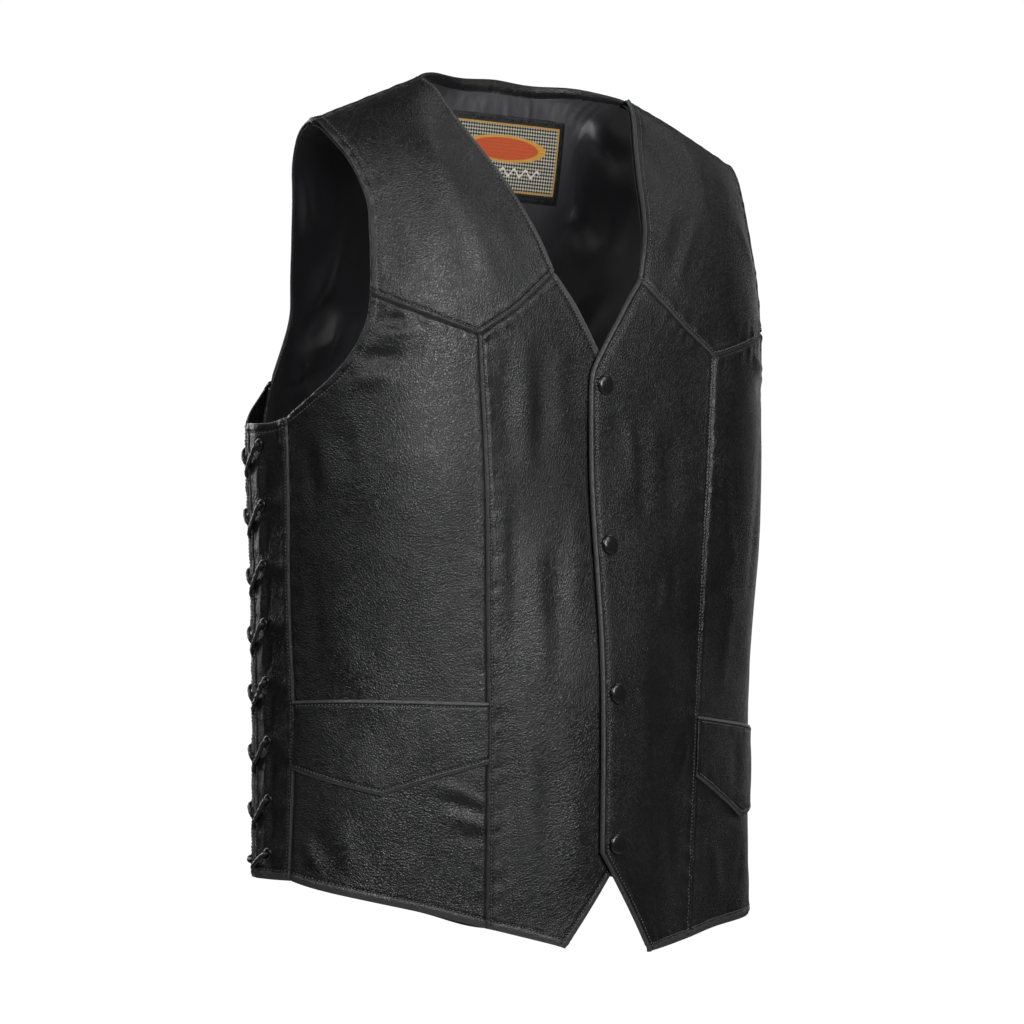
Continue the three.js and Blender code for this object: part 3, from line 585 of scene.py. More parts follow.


# Leather: a pebbled grain, fine creases that run both ways, duller patches, and a painted highlight along the
# turned edges
def leatherMaterial(name, look):
    material, tree, shader = newMaterial(name)
    place = addNode(tree, "ShaderNodeTexCoord").outputs["Object"]
    cut = addNode(tree, "ShaderNodeUVMap").outputs["UV"]
    patch = noise(tree, place, look["patch"], 5)
    bent = noise(tree, place, look["bend"], 3, "Color")
    moved = addNode(tree, "ShaderNodeVectorMath", {0: bent, 1: (look["warp"],) * 3}, operation="MULTIPLY")
    moved = addNode(tree, "ShaderNodeVectorMath", {0: place, 1: moved.outputs[0]}, operation="ADD").outputs[0]
    pebble = addNode(tree, "ShaderNodeTexVoronoi", {"Vector": moved, "Scale": look["grain"]},
                     feature="DISTANCE_TO_EDGE").outputs["Distance"]
    pebble = ramp(tree, pebble, 0, 1, 0.0, 0.25)
    fine = noise(tree, place, look["fine"], 2)
    creases = []
    for turn, seed in look["crease"]["ways"]:
        slanted = addNode(tree, "ShaderNodeMapping", {
            "Vector": cut, "Location": (seed, seed, seed), "Rotation": (0, 0, turn),
            "Scale": (1.0, look["crease"]["stretch"], 1.0)}, vector_type="TEXTURE").outputs[0]
        lineNoise = noise(tree, slanted, look["crease"]["scale"], 3, Roughness=0.6)
        line = mathNode(tree, "ABSOLUTE", mathNode(tree, "SUBTRACT", lineNoise, 0.5))
        creases.append(ramp(tree, line, 0, 1, 0.0, look["crease"]["width"]))
    way = ramp(tree, noise(tree, place, look["drift"], 2), 0, 1, 0.42, 0.58)
    crease = addNode(tree, "ShaderNodeMix", {0: way, 2: creases[0], 3: creases[1]}).outputs[0]
    shares = look["shares"]
    height = mathNode(tree, "ADD", mathNode(tree, "MULTIPLY", pebble, shares["pebble"]),
                      mathNode(tree, "MULTIPLY", crease, shares["crease"]))
    height = mathNode(tree, "ADD", height, mathNode(tree, "MULTIPLY", fine, shares["fine"]))
    color = mixColor(tree, ramp(tree, patch, 0, 1, 0.3, 0.7), look["dark"], look["light"])
    color = mixColor(tree, ramp(tree, pebble, 0.5, 0, 0, 1), color, look["pore"])
    # Painted highlight: a lighter colour along the turned edges, where light catches them
    edgeHighlight = addNode(tree, "ShaderNodeAttribute", attribute_name="edgeHighlight").outputs["Fac"]
    color = mixColor(tree, mathNode(tree, "MULTIPLY", edgeHighlight, ramp(tree, patch, 0.5, 1)), color, look["edgeHighlight"])
    worn = ramp(tree, crease, 0.22, 0, 0, look["worn"])
    dress(tree, shader, color=color, normal=bumped(tree, 1.0, look["depth"], height),
          rough=mathNode(tree, "ADD", ramp(tree, patch, *look["roughness"], 0.25, 0.75), worn))
    shader.inputs["Specular IOR Level"].default_value = look["specular"]
    return material


satinLook = {"color": (0.016, 0.016, 0.0190, 1), "lighter": 1.6, "roughness": 0.39, "specular": 1.0,
             "sheen": 0.22, "sheenRoughness": 0.35, "threads": 900, "threadDepth": 0.00008,
             "drift": 38, "driftDepth": 0.0012}


# Satin: fine threads in soft waves
def satinMaterial(name, look):
    material, tree, shader = newMaterial(name)
    place = addNode(tree, "ShaderNodeTexCoord").outputs["Object"]
    drift = noise(tree, place, look["drift"], 3)
    threads = addNode(tree, "ShaderNodeTexWave", {"Vector": place, "Scale": look["threads"], "Distortion": 2.0},
                      bands_direction="Z").outputs["Fac"]
    woven = bumped(tree, 0.35, look["threadDepth"], threads)
    light = tuple(c * look["lighter"] for c in look["color"][:3]) + (1,)
    dress(tree, shader, color=mixColor(tree, drift, look["color"], light),
          rough=ramp(tree, drift, look["roughness"] * 0.85, look["roughness"] * 1.2),
          normal=bumped(tree, 0.5, look["driftDepth"], drift, Normal=woven))
    shader.inputs["Specular IOR Level"].default_value = look["specular"]
    shader.inputs["Sheen Weight"].default_value = look["sheen"]
    shader.inputs["Sheen Roughness"].default_value = look["sheenRoughness"]
    return material


weaveLook = {
    "pitch": 0.0050, "black": (0.006, 0.006, 0.006, 1), "cream": (0.46, 0.43, 0.35, 1), "depth": 0.0003,
    "oval": {"down": 0.38, "radii": (0.041, 0.0098, 1), "gold": (0.55, 0.29, 0.045, 1),
             "red": (0.50, 0.075, 0.018, 1)},
    "wave": {"down": 0.70, "rate": 560, "swing": 0.0024, "half": 0.0365, "color": (0.62, 0.60, 0.55, 1)},
    "rim": {"dark": (0.008, 0.007, 0.006, 1), "gold": (0.42, 0.25, 0.055, 1)},
}


# Label: a basket weave of cream and black, a thin gold line round it, and a plain woven oval and wave
def weaveMaterial(name, width, height, look):
    material, tree, shader = newMaterial(name)
    cut = addNode(tree, "ShaderNodeUVMap").outputs[0]
    flat = addNode(tree, "ShaderNodeSeparateXYZ", {0: cut})
    x, y = flat.outputs[0], flat.outputs[1]
    slants = [mathNode(tree, "MULTIPLY", mathNode(tree, way, x, y), 2 * math.pi / look["pitch"])
              for way in ("ADD", "SUBTRACT")]
    waves = [mathNode(tree, "SINE", slant) for slant in slants]
    woven = ramp(tree, mathNode(tree, "MULTIPLY", *waves), 0, 1, -0.12, 0.22)
    color = mixColor(tree, woven, look["black"], look["cream"])
    shape, wave, rim = look["oval"], look["wave"], look["rim"]
    middle = (width / 2, height * shape["down"], 0)
    centred = addNode(tree, "ShaderNodeMapping", {"Vector": cut, "Location": middle, "Scale": shape["radii"]},
                      vector_type="TEXTURE")
    oval = addNode(tree, "ShaderNodeVectorMath", {0: centred.outputs[0]}, operation="LENGTH").outputs["Value"]
    swing = mathNode(tree, "SINE", mathNode(tree, "MULTIPLY", x, wave["rate"]))
    swing = mathNode(tree, "MULTIPLY", swing, wave["swing"])
    stroke = mathNode(tree, "SUBTRACT", mathNode(tree, "SUBTRACT", y, height * wave["down"]), swing)
    stroke = ramp(tree, mathNode(tree, "ABSOLUTE", stroke), 1, 0, 0.0008, 0.0011)
    within = mathNode(tree, "ABSOLUTE", mathNode(tree, "SUBTRACT", x, width / 2))
    within = ramp(tree, within, 1, 0, wave["half"], wave["half"] + 0.0005)
    color = mixColor(tree, mathNode(tree, "MULTIPLY", within, stroke), color, wave["color"])
    color = mixColor(tree, ramp(tree, oval, 1, 0, 0.98, 1.02), color, shape["gold"])
    color = mixColor(tree, ramp(tree, oval, 1, 0, 0.80, 0.84), color, shape["red"])
    half = []
    for value, size in ((x, width), (y, height)):
        off = mathNode(tree, "ABSOLUTE", mathNode(tree, "SUBTRACT", value, size / 2))
        half.append(mathNode(tree, "SUBTRACT", size / 2, off))
    inset = mathNode(tree, "MINIMUM", *half)
    gold = [ramp(tree, inset, 0, 1, 0.0012, 0.0014), ramp(tree, inset, 1, 0, 0.0026, 0.0028)]
    gold = mathNode(tree, "MULTIPLY", *gold)
    color = mixColor(tree, ramp(tree, inset, 1, 0, 0.0011, 0.0012), color, rim["dark"])
    dress(tree, shader, color=mixColor(tree, gold, color, rim["gold"]), rough=ramp(tree, woven, 0.75, 0.55),
          normal=bumped(tree, 0.6, look["depth"], woven))
    return material


def plainMaterial(name, color, roughness):
    material, tree, shader = newMaterial(name)
    haze = noise(tree, addNode(tree, "ShaderNodeTexCoord").outputs["Object"], 300, 3)
    shade = tuple(channel * 0.7 for channel in color) + (1,)
    dress(tree, shader, color=mixColor(tree, haze, shade, (*color, 1)),
          rough=ramp(tree, haze, roughness * 0.85, roughness * 1.15))
    return material


labelShape = {"centre": 10.5, "halfWidth": 58, "top": 1.5, "height": 60, "border": 4, "seat": -5.0,
              "backing": 1.0, "weave": 0.5, "gap": 0.1, "columns": 41, "rows": 25}
weaveSize = [(size - 2 * labelShape["border"]) * millimetre
             for size in (2 * labelShape["halfWidth"], labelShape["height"])]

finishes.update({
    "leather": leatherMaterial("blackLeather", leatherLook),
    "satin": satinMaterial("blackSatin", satinLook),
    "enamel": plainMaterial("blackEnamel", (0.012, 0.012, 0.012), 0.22),
    "lace": plainMaterial("laceLeather", (0.010, 0.010, 0.0105), 0.42),
    "thread": plainMaterial("blackThread", (0.085, 0.085, 0.088), 0.45),
    # Near-black cones at the needle holes: painted shade
    "shade": plainMaterial("paintedHoleShade", (0.001, 0.001, 0.001), 0.95),
    "weave": weaveMaterial("labelWeave", *weaveSize, weaveLook),
})
print("stage: materials")

# Fronts
leatherWall = 1.6
bandWall = 1.8
sides = {"right": -1, "left": 1}
creaseScale = 1.45
softWaves = {"inside": 25, "long": 42, "short": 17, "shortShare": 0.45}
panels = {}

# Creases and soft waves of each panel, as rows for foldRelief
creases = {
    "frontYokeRight": (
        (0.569, 43, 0.590, 13, 0, 5, 0.9), (0.396, 142, 0.343, 70, 3, 9, 0.8),
        (0.465, 124, 0.452, 47, -3, 8, -0.6), (0.393, 75, 0.360, 9, -3, 9, -0.7),
        (0.331, 59, 0.279, 9, 2, 8, 0.6), (0.237, 70, 0.197, 29, 0, 8, -0.4),
        (0.534, 74, 0.530, 24, 2, 6, -0.5),
    ),
    "frontSideRight": (
        (0.600, -11, 0.506, -12, 3, 5, -1.6), (0.606, -22, 0.479, -14, 3, 5.5, 1.8),
        (0.630, -41, 0.514, -42, -3, 5.5, -1.7), (0.524, -43, 0.462, -28, 0, 5, -0.9),
        (0.669, -55, 0.534, -53, 0, 6, 1.2), (0.643, -31, 0.540, -31, 2, 4.5, 1.0),
        (0.790, -93, 0.738, -139, 2, 6, 1.0), (0.859, -95, 0.808, -154, 0, 6, -0.9),
        (0.700, -87, 0.664, -127, 0, 7, -0.7), (0.648, -99, 0.612, -156, 0, 8, 0.6),
        (0.670, -184, 0.626, -278, 2, 9, 0.8), (0.811, -183, 0.752, -269, -2, 7, -0.8),
        (0.714, -212, 0.681, -280, 0, 7, 0.6), (0.561, -205, 0.560, -276, 3, 10, -0.6),
        (0.430, -211, 0.405, -275, 0, 12, 0.5), (0.357, -89, 0.337, -182, 2, 10, -0.4),
        (0.286, -358, 0.410, -343, 3, 3.5, 1.0), (0.285, -366, 0.386, -355, 3, 3.5, -0.9),
        (0.285, -375, 0.370, -365, 2, 4, 0.7), (0.286, -384, 0.357, -380, 2, 4, -0.5),
        (0.774, -381, 0.700, -407, 2, 4, 1.0), (0.720, -373, 0.661, -406, 0, 5, -0.8),
        (0.619, -370, 0.595, -407, 2, 5, 0.8), (0.538, -370, 0.543, -415, 0, 7, -0.5),
        (0.439, -389, 0.443, -429, 0, 8, 0.5),
    ),
    "frontCenterRight": (
        (0.260, -26, 0.249, -116, 3, 8, -0.8), (0.222, -14, 0.209, -122, -3, 9, 0.7),
        (0.170, -27, 0.160, -121, 2, 9, -0.6), (0.116, -19, 0.099, -91, 2, 8, 0.6),
        (0.280, -124, 0.265, -238, 0, 7, 0.8), (0.239, -137, 0.231, -273, 3, 8, -0.8),
        (0.189, -165, 0.185, -280, -2, 9, 0.7), (0.133, -149, 0.138, -272, 2, 9, -0.6),
        (0.077, -134, 0.090, -236, 0, 8, 0.5), (0.261, -281, 0.240, -388, -2, 8, -0.6),
        (0.211, -295, 0.191, -409, 2, 9, 0.7), (0.161, -309, 0.139, -409, 2, 10, -0.7),
        (0.103, -322, 0.087, -408, 0, 8, 0.5),
    ),
    "pocketBandRight": (
        (0.693, -295, 0.703, -332, 0, 8, 0.5), (0.535, -292, 0.529, -340, 0, 10, -0.5),
        (0.415, -291, 0.396, -329, 0, 9, 0.5), (0.348, -290, 0.336, -321, 0, 7, -0.4),
    ),
    "frontYokeLeft": (
        (0.269, 81, 0.186, 44, 2, 4, 0.8), (0.337, 73, 0.225, 23, -3, 5, 0.9),
        (0.310, 76, 0.207, 33, 2, 4, -0.6), (0.265, 111, 0.170, 52, 0, 7, -0.5),
        (0.493, 97, 0.560, 37, 2, 8, 0.6), (0.448, 140, 0.382, 55, 0, 9, -0.6),
    ),
    "frontCenterLeft": (
        (0.064, -69, 0.100, -134, 3, 5, 0.8), (0.099, -86, 0.124, -144, -3, 5, -0.6),
        (0.138, -56, 0.154, -144, 2, 8, 0.6), (0.206, -69, 0.196, -157, 0, 9, -0.6),
        (0.182, -176, 0.140, -218, 2, 4, 0.8), (0.213, -171, 0.181, -230, 0, 5, -0.6),
        (0.264, -296, 0.203, -333, 2, 4, 0.9), (0.239, -291, 0.173, -325, 0, 4, -0.6),
        (0.088, -240, 0.101, -348, 0, 10, 0.6), (0.152, -347, 0.202, -418, 2, 8, -0.5),
    ),
    "frontSideLeft": (
        (0.345, -66, 0.375, -157, 2, 8, 0.7), (0.560, -69, 0.520, -194, 0, 7, -0.7),
        (0.385, -143, 0.421, -171, 0, 4, 0.7), (0.430, -187, 0.400, -269, 0, 8, 0.5),
        (0.606, -20, 0.500, -16, 3, 5.5, 1.3), (0.640, -43, 0.520, -40, -3, 5.5, -1.2),
        (0.700, -100, 0.650, -180, 3, 8, 0.8), (0.800, -130, 0.760, -240, -3, 7, -0.8),
        (0.372, -372, 0.409, -415, 2, 7, 0.6), (0.560, -365, 0.504, -406, 0, 6, -0.5),
        (0.300, -362, 0.390, -349, 2, 4, 0.7), (0.740, -370, 0.690, -405, 2, 5, 0.8),
    ),
    "pocketBandLeft": (
        (0.650, -295, 0.660, -332, 0, 8, 0.5), (0.470, -292, 0.480, -336, 2, 9, -0.5),
    ),
    "backPanel": (
        (1.560, -60, 1.620, -190, 6, 10, 0.9), (1.660, -30, 1.690, -160, -5, 11, -0.9),
        (1.545, 20, 1.640, -20, 4, 6, 1.0), (1.540, 0, 1.650, -45, -4, 6, -1.0),
        (1.780, -120, 1.760, -300, 5, 12, 0.8), (1.880, 40, 1.870, -140, -5, 13, -0.8),
        (1.980, -180, 2.010, -360, 6, 12, 0.8), (2.120, -40, 2.090, -230, 5, 12, 0.9),
        (2.250, -160, 2.270, -330, -5, 11, -0.9), (2.460, 15, 2.350, -30, 4, 6, 1.0),
        (2.470, -8, 2.360, -50, -4, 6, -1.0), (2.400, -90, 2.350, -210, 4, 9, 0.8),
        (1.500, -250, 1.560, -370, 3, 8, 0.8), (2.520, -240, 2.460, -370, 3, 8, -0.8),
        (1.700, 150, 1.640, 60, 5, 9, 0.7), (2.300, 150, 2.360, 55, -5, 9, 0.7),
        (1.850, 110, 1.780, 20, 5, 10, -0.6), (2.120, 120, 2.180, 30, 4, 10, -0.6),
    ),
}
liningCreases = {
    "liningBack": (
        (2.324, 67, 2.402, -21, 8, 9, -5.0), (2.347, 27, 2.426, -19, 4, 7, 3.5),
        (2.311, 89, 2.338, 31, 3, 8, 3.0), (2.451, -10, 2.360, -56, 4, 6, -4.0),
        (2.455, 132, 2.424, 73, 0, 6, -3.0), (2.432, 139, 2.386, 80, 2, 7, 2.5),
        (2.440, -28, 2.324, -3, 3, 6, -3.0), (2.442, -46, 2.339, -34, 0, 5, 3.0),
        (2.316, 12, 2.346, -33, 3, 7, -3.5), (1.747, 172, 1.646, 151, 6, 10, -4.5),
        (1.753, 153, 1.674, 122, 3, 8, 3.5), (1.713, 191, 1.635, 169, 2, 8, 3.0),
        (1.762, 102, 1.664, 89, 3, 10, -3.5), (1.767, 87, 1.674, 69, 0, 9, 3.0),
        (1.623, 135, 1.629, 83, 3, 8, -3.0), (1.600, 60, 1.660, -60, 6, 10, -4.0),
        (1.800, -40, 1.760, -200, 8, 13, -4.0), (1.950, 60, 2.020, -140, -9, 14, -4.0),
        (2.200, 20, 2.150, -180, 8, 13, -4.0), (2.420, -120, 2.330, -280, 6, 11, -3.5),
        (1.560, -150, 1.640, -330, -6, 11, -3.5),
    ),
    "liningFrontRight": (
        (0.30, 40, 0.34, -120, 6, 10, -3.0), (0.55, -60, 0.50, -250, -6, 11, -3.0),
        (0.75, -120, 0.70, -330, 5, 10, -3.0), (0.20, -150, 0.24, -340, 4, 9, -2.5),
    ),
    "liningFrontLeft": (
        (0.28, 60, 0.33, -100, 6, 10, -3.0), (0.52, -40, 0.47, -230, -6, 11, -3.0),
        (0.72, -140, 0.68, -350, 5, 10, -3.0), (0.18, -170, 0.22, -360, 4, 9, -2.5),
    ),
}


# One kind of edge all along, or rows of kind, start and end
def edgeKinds(top, bottom, left, right):
    kinds = {"top": top, "bottom": bottom, "left": left, "right": right}
    return {name: [(kind, 0, 1)] if isinstance(kind, str) else kind for name, kind in kinds.items()}


def finished(piece, slot, *nodes):
    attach(piece, "root")
    if nodes:
        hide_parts(*nodes)
    return piece


def keepSheet(name, grid, piece):
    size, area = flatSize(grid)
    panels[name] = grid
    print("  ", name, "flat", [round(float(x), 3) for x in size], "area", round(float(area), 4))


def addPanel(name, node, lines, edges, out=0.0, thickness=leatherWall, step=4.2, folds=(),
             acrossStops=(), downStops=(), side=1, seed=1, sway=0.5):
    grid = panelGrid(side, lines, step, acrossStops, downStops)
    folds = creases.get(name, ()) + tuple(folds)
    relief = edgeRelief(grid, edgeKinds(*edges), seed) + creaseScale * foldRelief(grid, folds)
    inside = smooth(fromEdges(grid), 0, softWaves["inside"])
    waves = softNoise(grid["base"], softWaves["long"], seed)
    waves = waves + softWaves["shortShare"] * softNoise(grid["base"], softWaves["short"], seed + 1)
    relief = relief + sway * inside * waves
    grid["out"] = relief + out
    piece = finished(wallPiece(name, grid, thickness, "leather"), "leather", node)
    keepSheet(name, grid, piece)


yokeLines = (frontShoulder, joinLines(yokeInner, yokeOuter), neckline, frontArmhole)
centerLines = (yokeInner, hemInner, joinLines(frontEdgeTop, frontEdge, hemPoint), panelSeam)
sideLines = (yokeOuter, hemOuter, panelSeam, joinLines(underarm, sideSeam))
centerStops = [cornerShare(frontEdgeTop, frontEdge, hemPoint),
               1 - cornerShare(hemPoint, frontEdgeTop, frontEdge)]
underarmEnd = cornerShare(underarm, sideSeam)
pocket = {"top": -283.5, "inner": -327, "tip": -351.5, "tipTurn": 0.517, "outer": -332, "stand": 0.5,
          "wall": 1.4}
pocketTop = straightLine([(turnAt(panelSeam, pocket["top"]), pocket["top"]),
                          (turnAt(sideSeam, pocket["top"]), pocket["top"])])
pocketPoint = straightLine([(turnAt(panelSeam, pocket["inner"]), pocket["inner"]),
                            (pocket["tipTurn"], pocket["tip"]),
                            (turnAt(sideSeam, pocket["outer"]), pocket["outer"])])
pocketLines = (pocketTop, pocketPoint, straightLine([pocketTop[0], pocketPoint[0]]),
               straightLine([pocketTop[-1], pocketPoint[-1]]))
bandEnds = {"front": -407, "back": -404, "gap": 3}


def bandEdge(across, hemLevel):
    return besideGap(across, np.linspace(-80, hemLevel, 40))


eyeletAcross = {"front": 24, "back": 14}
eyeletLevels = (-96.7, -140.5, -184, -226, -268, -311, -353, -391.5)


# Soft folds that hang from each eyelet, and a hollow beside them
def eyeletFolds(sign):
    rows = []
    for level, length in zip(eyeletLevels, (31, 29, 33, 27, 30, 32, 24, 10)):
        for beside, width, height in ((1, 3.6, 0.9), (8, 4.0, -0.7)):
            across = beside + (eyeletAcross["front"] if sign < 0 else eyeletAcross["back"])
            top, low = besideGap(sign * across, level - 7), besideGap(sign * (across - 4), level - 7 - length)
            rows.append((top[0], top[1], low[0], low[1], 2, width, height))
    return rows


frontBandEdge = bandEdge(-bandEnds["gap"], bandEnds["front"])
backBandEdge = bandEdge(bandEnds["gap"], bandEnds["back"])
frontBandLines = (curveLine([sideSeam[0], (1.12, -82), frontBandEdge[0]]),
                  straightLine([sideSeam[-1], frontBandEdge[-1]]), sideSeam, frontBandEdge)
backBandLines = (curveLine([backBandEdge[0], (1.437, -62), backSeam[0]]),
                 straightLine([backBandEdge[-1], backSeam[-1]]), backBandEdge, backSeam)

# Edges in the order top, bottom, left, right
for name, side in sides.items():
    label = name.capitalize()
    seed = 100 if side < 0 else 200
    openEdge = "lapel" if side < 0 else "beaded"
    yokeLeft = [("plain", 0, 0.04), (openEdge, 0.04, 1)]
    sideRight = [("tucked", 0, underarmEnd), ("sewn", underarmEnd, 1)]
    addPanel(f"frontYoke{label}", f"front_yoke_{name}", yokeLines, ("sewn", "stitched", yokeLeft, "tucked"),
             side=side, seed=seed, acrossStops=[cornerShare(yokeInner, yokeOuter)])
    addPanel(f"frontCenter{label}", f"front_center_{name}", centerLines, ("sewn", "rolled", openEdge, "stitched"),
             side=side, seed=seed + 20, downStops=centerStops)
    addPanel(f"frontSide{label}", f"front_side_{name}", sideLines, ("sewn", "rolled", "sewn", sideRight),
             side=side, seed=seed + 40, downStops=[underarmEnd])
    addPanel(f"pocketBand{label}", f"pocket_band_{name}", pocketLines, ("laid", "laid", "plain", "plain"),
             out=pocket["stand"] + pocket["wall"], thickness=pocket["wall"], step=3.5, side=side, seed=seed + 60,
             sway=0.3, acrossStops=[0.5])
    addPanel(f"laceBandFront{label}", f"lace_band_front_{name}", frontBandLines,
             ("tucked", "rolled", "stitched", "rolled"), thickness=bandWall, step=3.5, side=side, seed=seed + 70,
             folds=eyeletFolds(-1))
    addPanel(f"laceBandBack{label}", f"lace_band_back_{name}", backBandLines,
             ("tucked", "rolled", "rolled", "stitched"), thickness=bandWall, step=3.5, side=side, seed=seed + 80,
             folds=eyeletFolds(1))
print("stage: fronts")

# Back
backTop = joinLines(backShoulder, backNeck[::-1], mirrored(backNeck), mirrored(backShoulder[::-1]))
backSide = joinLines(backArmhole, backSeam)
backLines = (backTop, joinLines(backHem, mirrored(backHem)[::-1]), backSide, mirrored(backSide))
neckStart = cornerShare(backShoulder, backNeck) / 2
armholeEnd = cornerShare(backArmhole, backSeam)
backTopEdge = [("sewn", 0, neckStart), ("plain", neckStart, 1 - neckStart), ("sewn", 1 - neckStart, 1)]
backSideEdge = [("rolled", 0, armholeEnd), ("sewn", armholeEnd, 1)]
addPanel("backPanel", "back_panel", backLines, (backTopEdge, "rolled", backSideEdge, backSideEdge), seed=300,
         step=5.5, acrossStops=[neckStart, 1 - neckStart], downStops=[armholeEnd])
print("stage: back")


# Inside: satin lining, the leather edge turned in at the neck, and the label
linings = {"wall": 0.6, "back": -2.3, "front": -4.0, "neckBand": 8.0, "step": 5.0, "loose": 40, "fall": 1.6,
           "fallSize": 30, "folds": 1.1, "neckGathers": 2.0, "gatherDown": 10, "gatherWidth": 9, "hung": 1.3,
           "hungFrom": (14, 34), "deepest": -2.2}
pleats = {"length": 2.9, "sway": 9, "swaySize": 60, "bend": 2.3, "bendSize": 26, "fade": 0.45, "fadeSize": 30}
labelHold = {"beside": (5, 22), "below": (2, 18)}


def gathers(grid, seed):
    sway, bend, fade = (softNoise(grid["base"], pleats[name], seed + n)
                        for n, name in enumerate(("swaySize", "bendSize", "fadeSize")))
    run = grid["across"] + pleats["sway"] * sway
    pleat = np.sin(run / pleats["length"] + pleats["bend"] * bend)
    return pleat * (1 - pleats["fade"] + pleats["fade"] * fade)


# How far the satin is free of the label, which holds it flat behind it
def freeOfLabel(base):
    beside = smooth(np.abs(base[..., 0] - labelShape["centre"]) - labelShape["halfWidth"], *labelHold["beside"])
    below = smooth(-base[..., 2] - labelShape["height"], *labelHold["below"])
    return 1 - (1 - beside) * (1 - below)


def addLining(name, node, lines, side, seed, out, drape, **stops):
    grid = panelGrid(side, lines, linings["step"], **stops)
    atBack = name == "liningBack"
    loose = smooth(fromEdges(grid), 0, linings["loose"])
    long = softNoise(grid["base"] * (1, 1, 0.5), linings["fallSize"], seed)
    fall = linings["fall"] * drape * loose * (0.5 + 0.5 * long)
    folds = linings["folds"] * gathers(grid, seed + 3) * loose
    hung = linings["hung"] * foldRelief(grid, liningCreases[name]) * smooth(grid["top"], *linings["hungFrom"])
    neck, free = 0, 1.0
    if atBack:
        beside = hump(grid["top"], linings["gatherDown"], linings["gatherWidth"])
        neck, free = linings["neckGathers"] * gathers(grid, seed + 5) * beside, freeOfLabel(grid["base"])
    hang = -fall - np.abs(folds) - np.abs(neck) + hung
    held = np.maximum(hang, linings["deepest"]) * (1 - free) * (hang < 0)
    grid["out"] = out + np.minimum(hang * free, 0) + held
    piece = finished(wallPiece(name, grid, linings["wall"], "satin"), "satin", node)
    keepSheet(name, grid, piece)


bandDrop = linings["neckBand"]
liningTop = backTop - np.stack([np.zeros(len(backTop)), np.full(len(backTop), bandDrop)], -1)
liningArmhole = np.vstack([liningTop[:1], backArmhole[backArmhole[:, 1] < crown - bandDrop - 1]])
liningSide = joinLines(liningArmhole, backSeam)
addLining("liningBack", "lining_back", (liningTop, backLines[1], liningSide, mirrored(liningSide)), 1, 400,
          linings["back"], 3.0, acrossStops=[neckStart, 1 - neckStart])
clearTurn = 0.085
liningEdge = curveLine([(0.290, 215), (0.261, 160), (0.234, 129), (0.201, 98), (0.165, 62), (0.125, 22),
                        (clearTurn, -20), (clearTurn, -120), (clearTurn, -300), (0.115, -440)])
liningHem = curveLine([(0.115, -440), (0.276, -444), (0.425, -432), (0.862, -411)])
for name, side in sides.items():
    addLining(f"liningFront{name.capitalize()}", f"lining_front_{name}",
              (frontShoulder, liningHem, liningEdge, joinLines(frontArmhole, underarm, sideSeam)), side,
              430 if side < 0 else 460, linings["front"], 1.5)

neckTop = joinLines(backNeck[::-1], mirrored(backNeck))
neckLow = neckTop - (0, bandDrop)
neckRoll = {"step": 4.0, "wall": 1.1, "seat": -1.5, "round": 1.3, "tuck": 0.3, "pucker": 0.15, "seed": 77,
            "narrowest": 0.01}
neckGrid = panelGrid(1, (neckTop, neckLow, straightLine([neckTop[0], neckLow[0]]),
                         straightLine([neckTop[-1], neckLow[-1]])), neckRoll["step"])
neckRound = neckRoll["round"] * np.sin(np.pi * np.clip(neckGrid["top"] / bandDrop, 0, 1))
neckTuck = neckRoll["tuck"] * smooth(neckGrid["top"], 5, 8)
neckPucker = neckRoll["pucker"] * ripple(neckGrid["across"], neckRoll["seed"])
neckGrid["out"] = neckRoll["seat"] - neckRound - neckTuck + neckPucker
neckPiece = finished(wallPiece("neckBand", neckGrid, neckRoll["wall"], "leather"), "leather", "neck_band")
neckSize, neckArea = flatSize(neckGrid)


# The label's grid, stepped towards its places on the back until it meets them
def labelGrid(margin, out):
    shape = labelShape
    x = shape["centre"] + np.linspace(1, -1, shape["columns"]) * (shape["halfWidth"] - margin)
    z = np.linspace(shape["top"] - margin, shape["top"] - shape["height"] + margin, shape["rows"])
    x, z = np.meshgrid(x, z)
    turn, level = np.full_like(x, 1.85), np.full_like(x, 100.0)
    for _ in range(60):
        point = formPoint(turn, level)
        turn = turn - (x - point[..., 0]) / 500
        level = np.minimum(level + (z - point[..., 2]), crown)
    base = formPoint(turn, level)
    across, down = runLengths(base, 1), runLengths(base, 0)
    return {"side": 1, "base": base, "normal": formNormal(turn, level), "across": across, "down": down,
            "out": np.full_like(x, float(out))}


weaveSeat = labelShape["seat"] - labelShape["backing"] - labelShape["gap"]
for name, node, margin, out, thickness, finish in (
        ("labelBacking", "label_backing", 0, labelShape["seat"], labelShape["backing"], "leather"),
        ("labelWeave", "label_weave", labelShape["border"], weaveSeat, labelShape["weave"], "weave")):
    grid = labelGrid(margin, out)
    keepSheet(name, grid, finished(wallPiece(name, grid, thickness, finish), finish, node))
print("stage: inside")

# Snap caps and eyelets, turned profiles standing on the leather
snaps = {"turn": 0.006, "levels": (-48.5, -165, -273, -381.5), "seat": 0.4, "segments": 48,
         "profile": ((0.01, 2.7), (2.6, 2.62), (4.8, 2.35), (6.3, 1.85), (7.1, 1.2), (7.45, 0.6), (7.3, 0.1),
                     (6.6, 0.0), (0.01, 0.0))}
eyelets = {"segments": 24,
           "profile": ((2.15, -2.3), (2.15, 0.5), (2.4, 0.85), (2.9, 1.08), (3.5, 1.05), (4.1, 0.8),
                       (4.55, 0.4), (4.7, 0.05), (4.4, -0.05), (2.6, -0.1), (2.6, -2.2), (2.15, -2.3))}


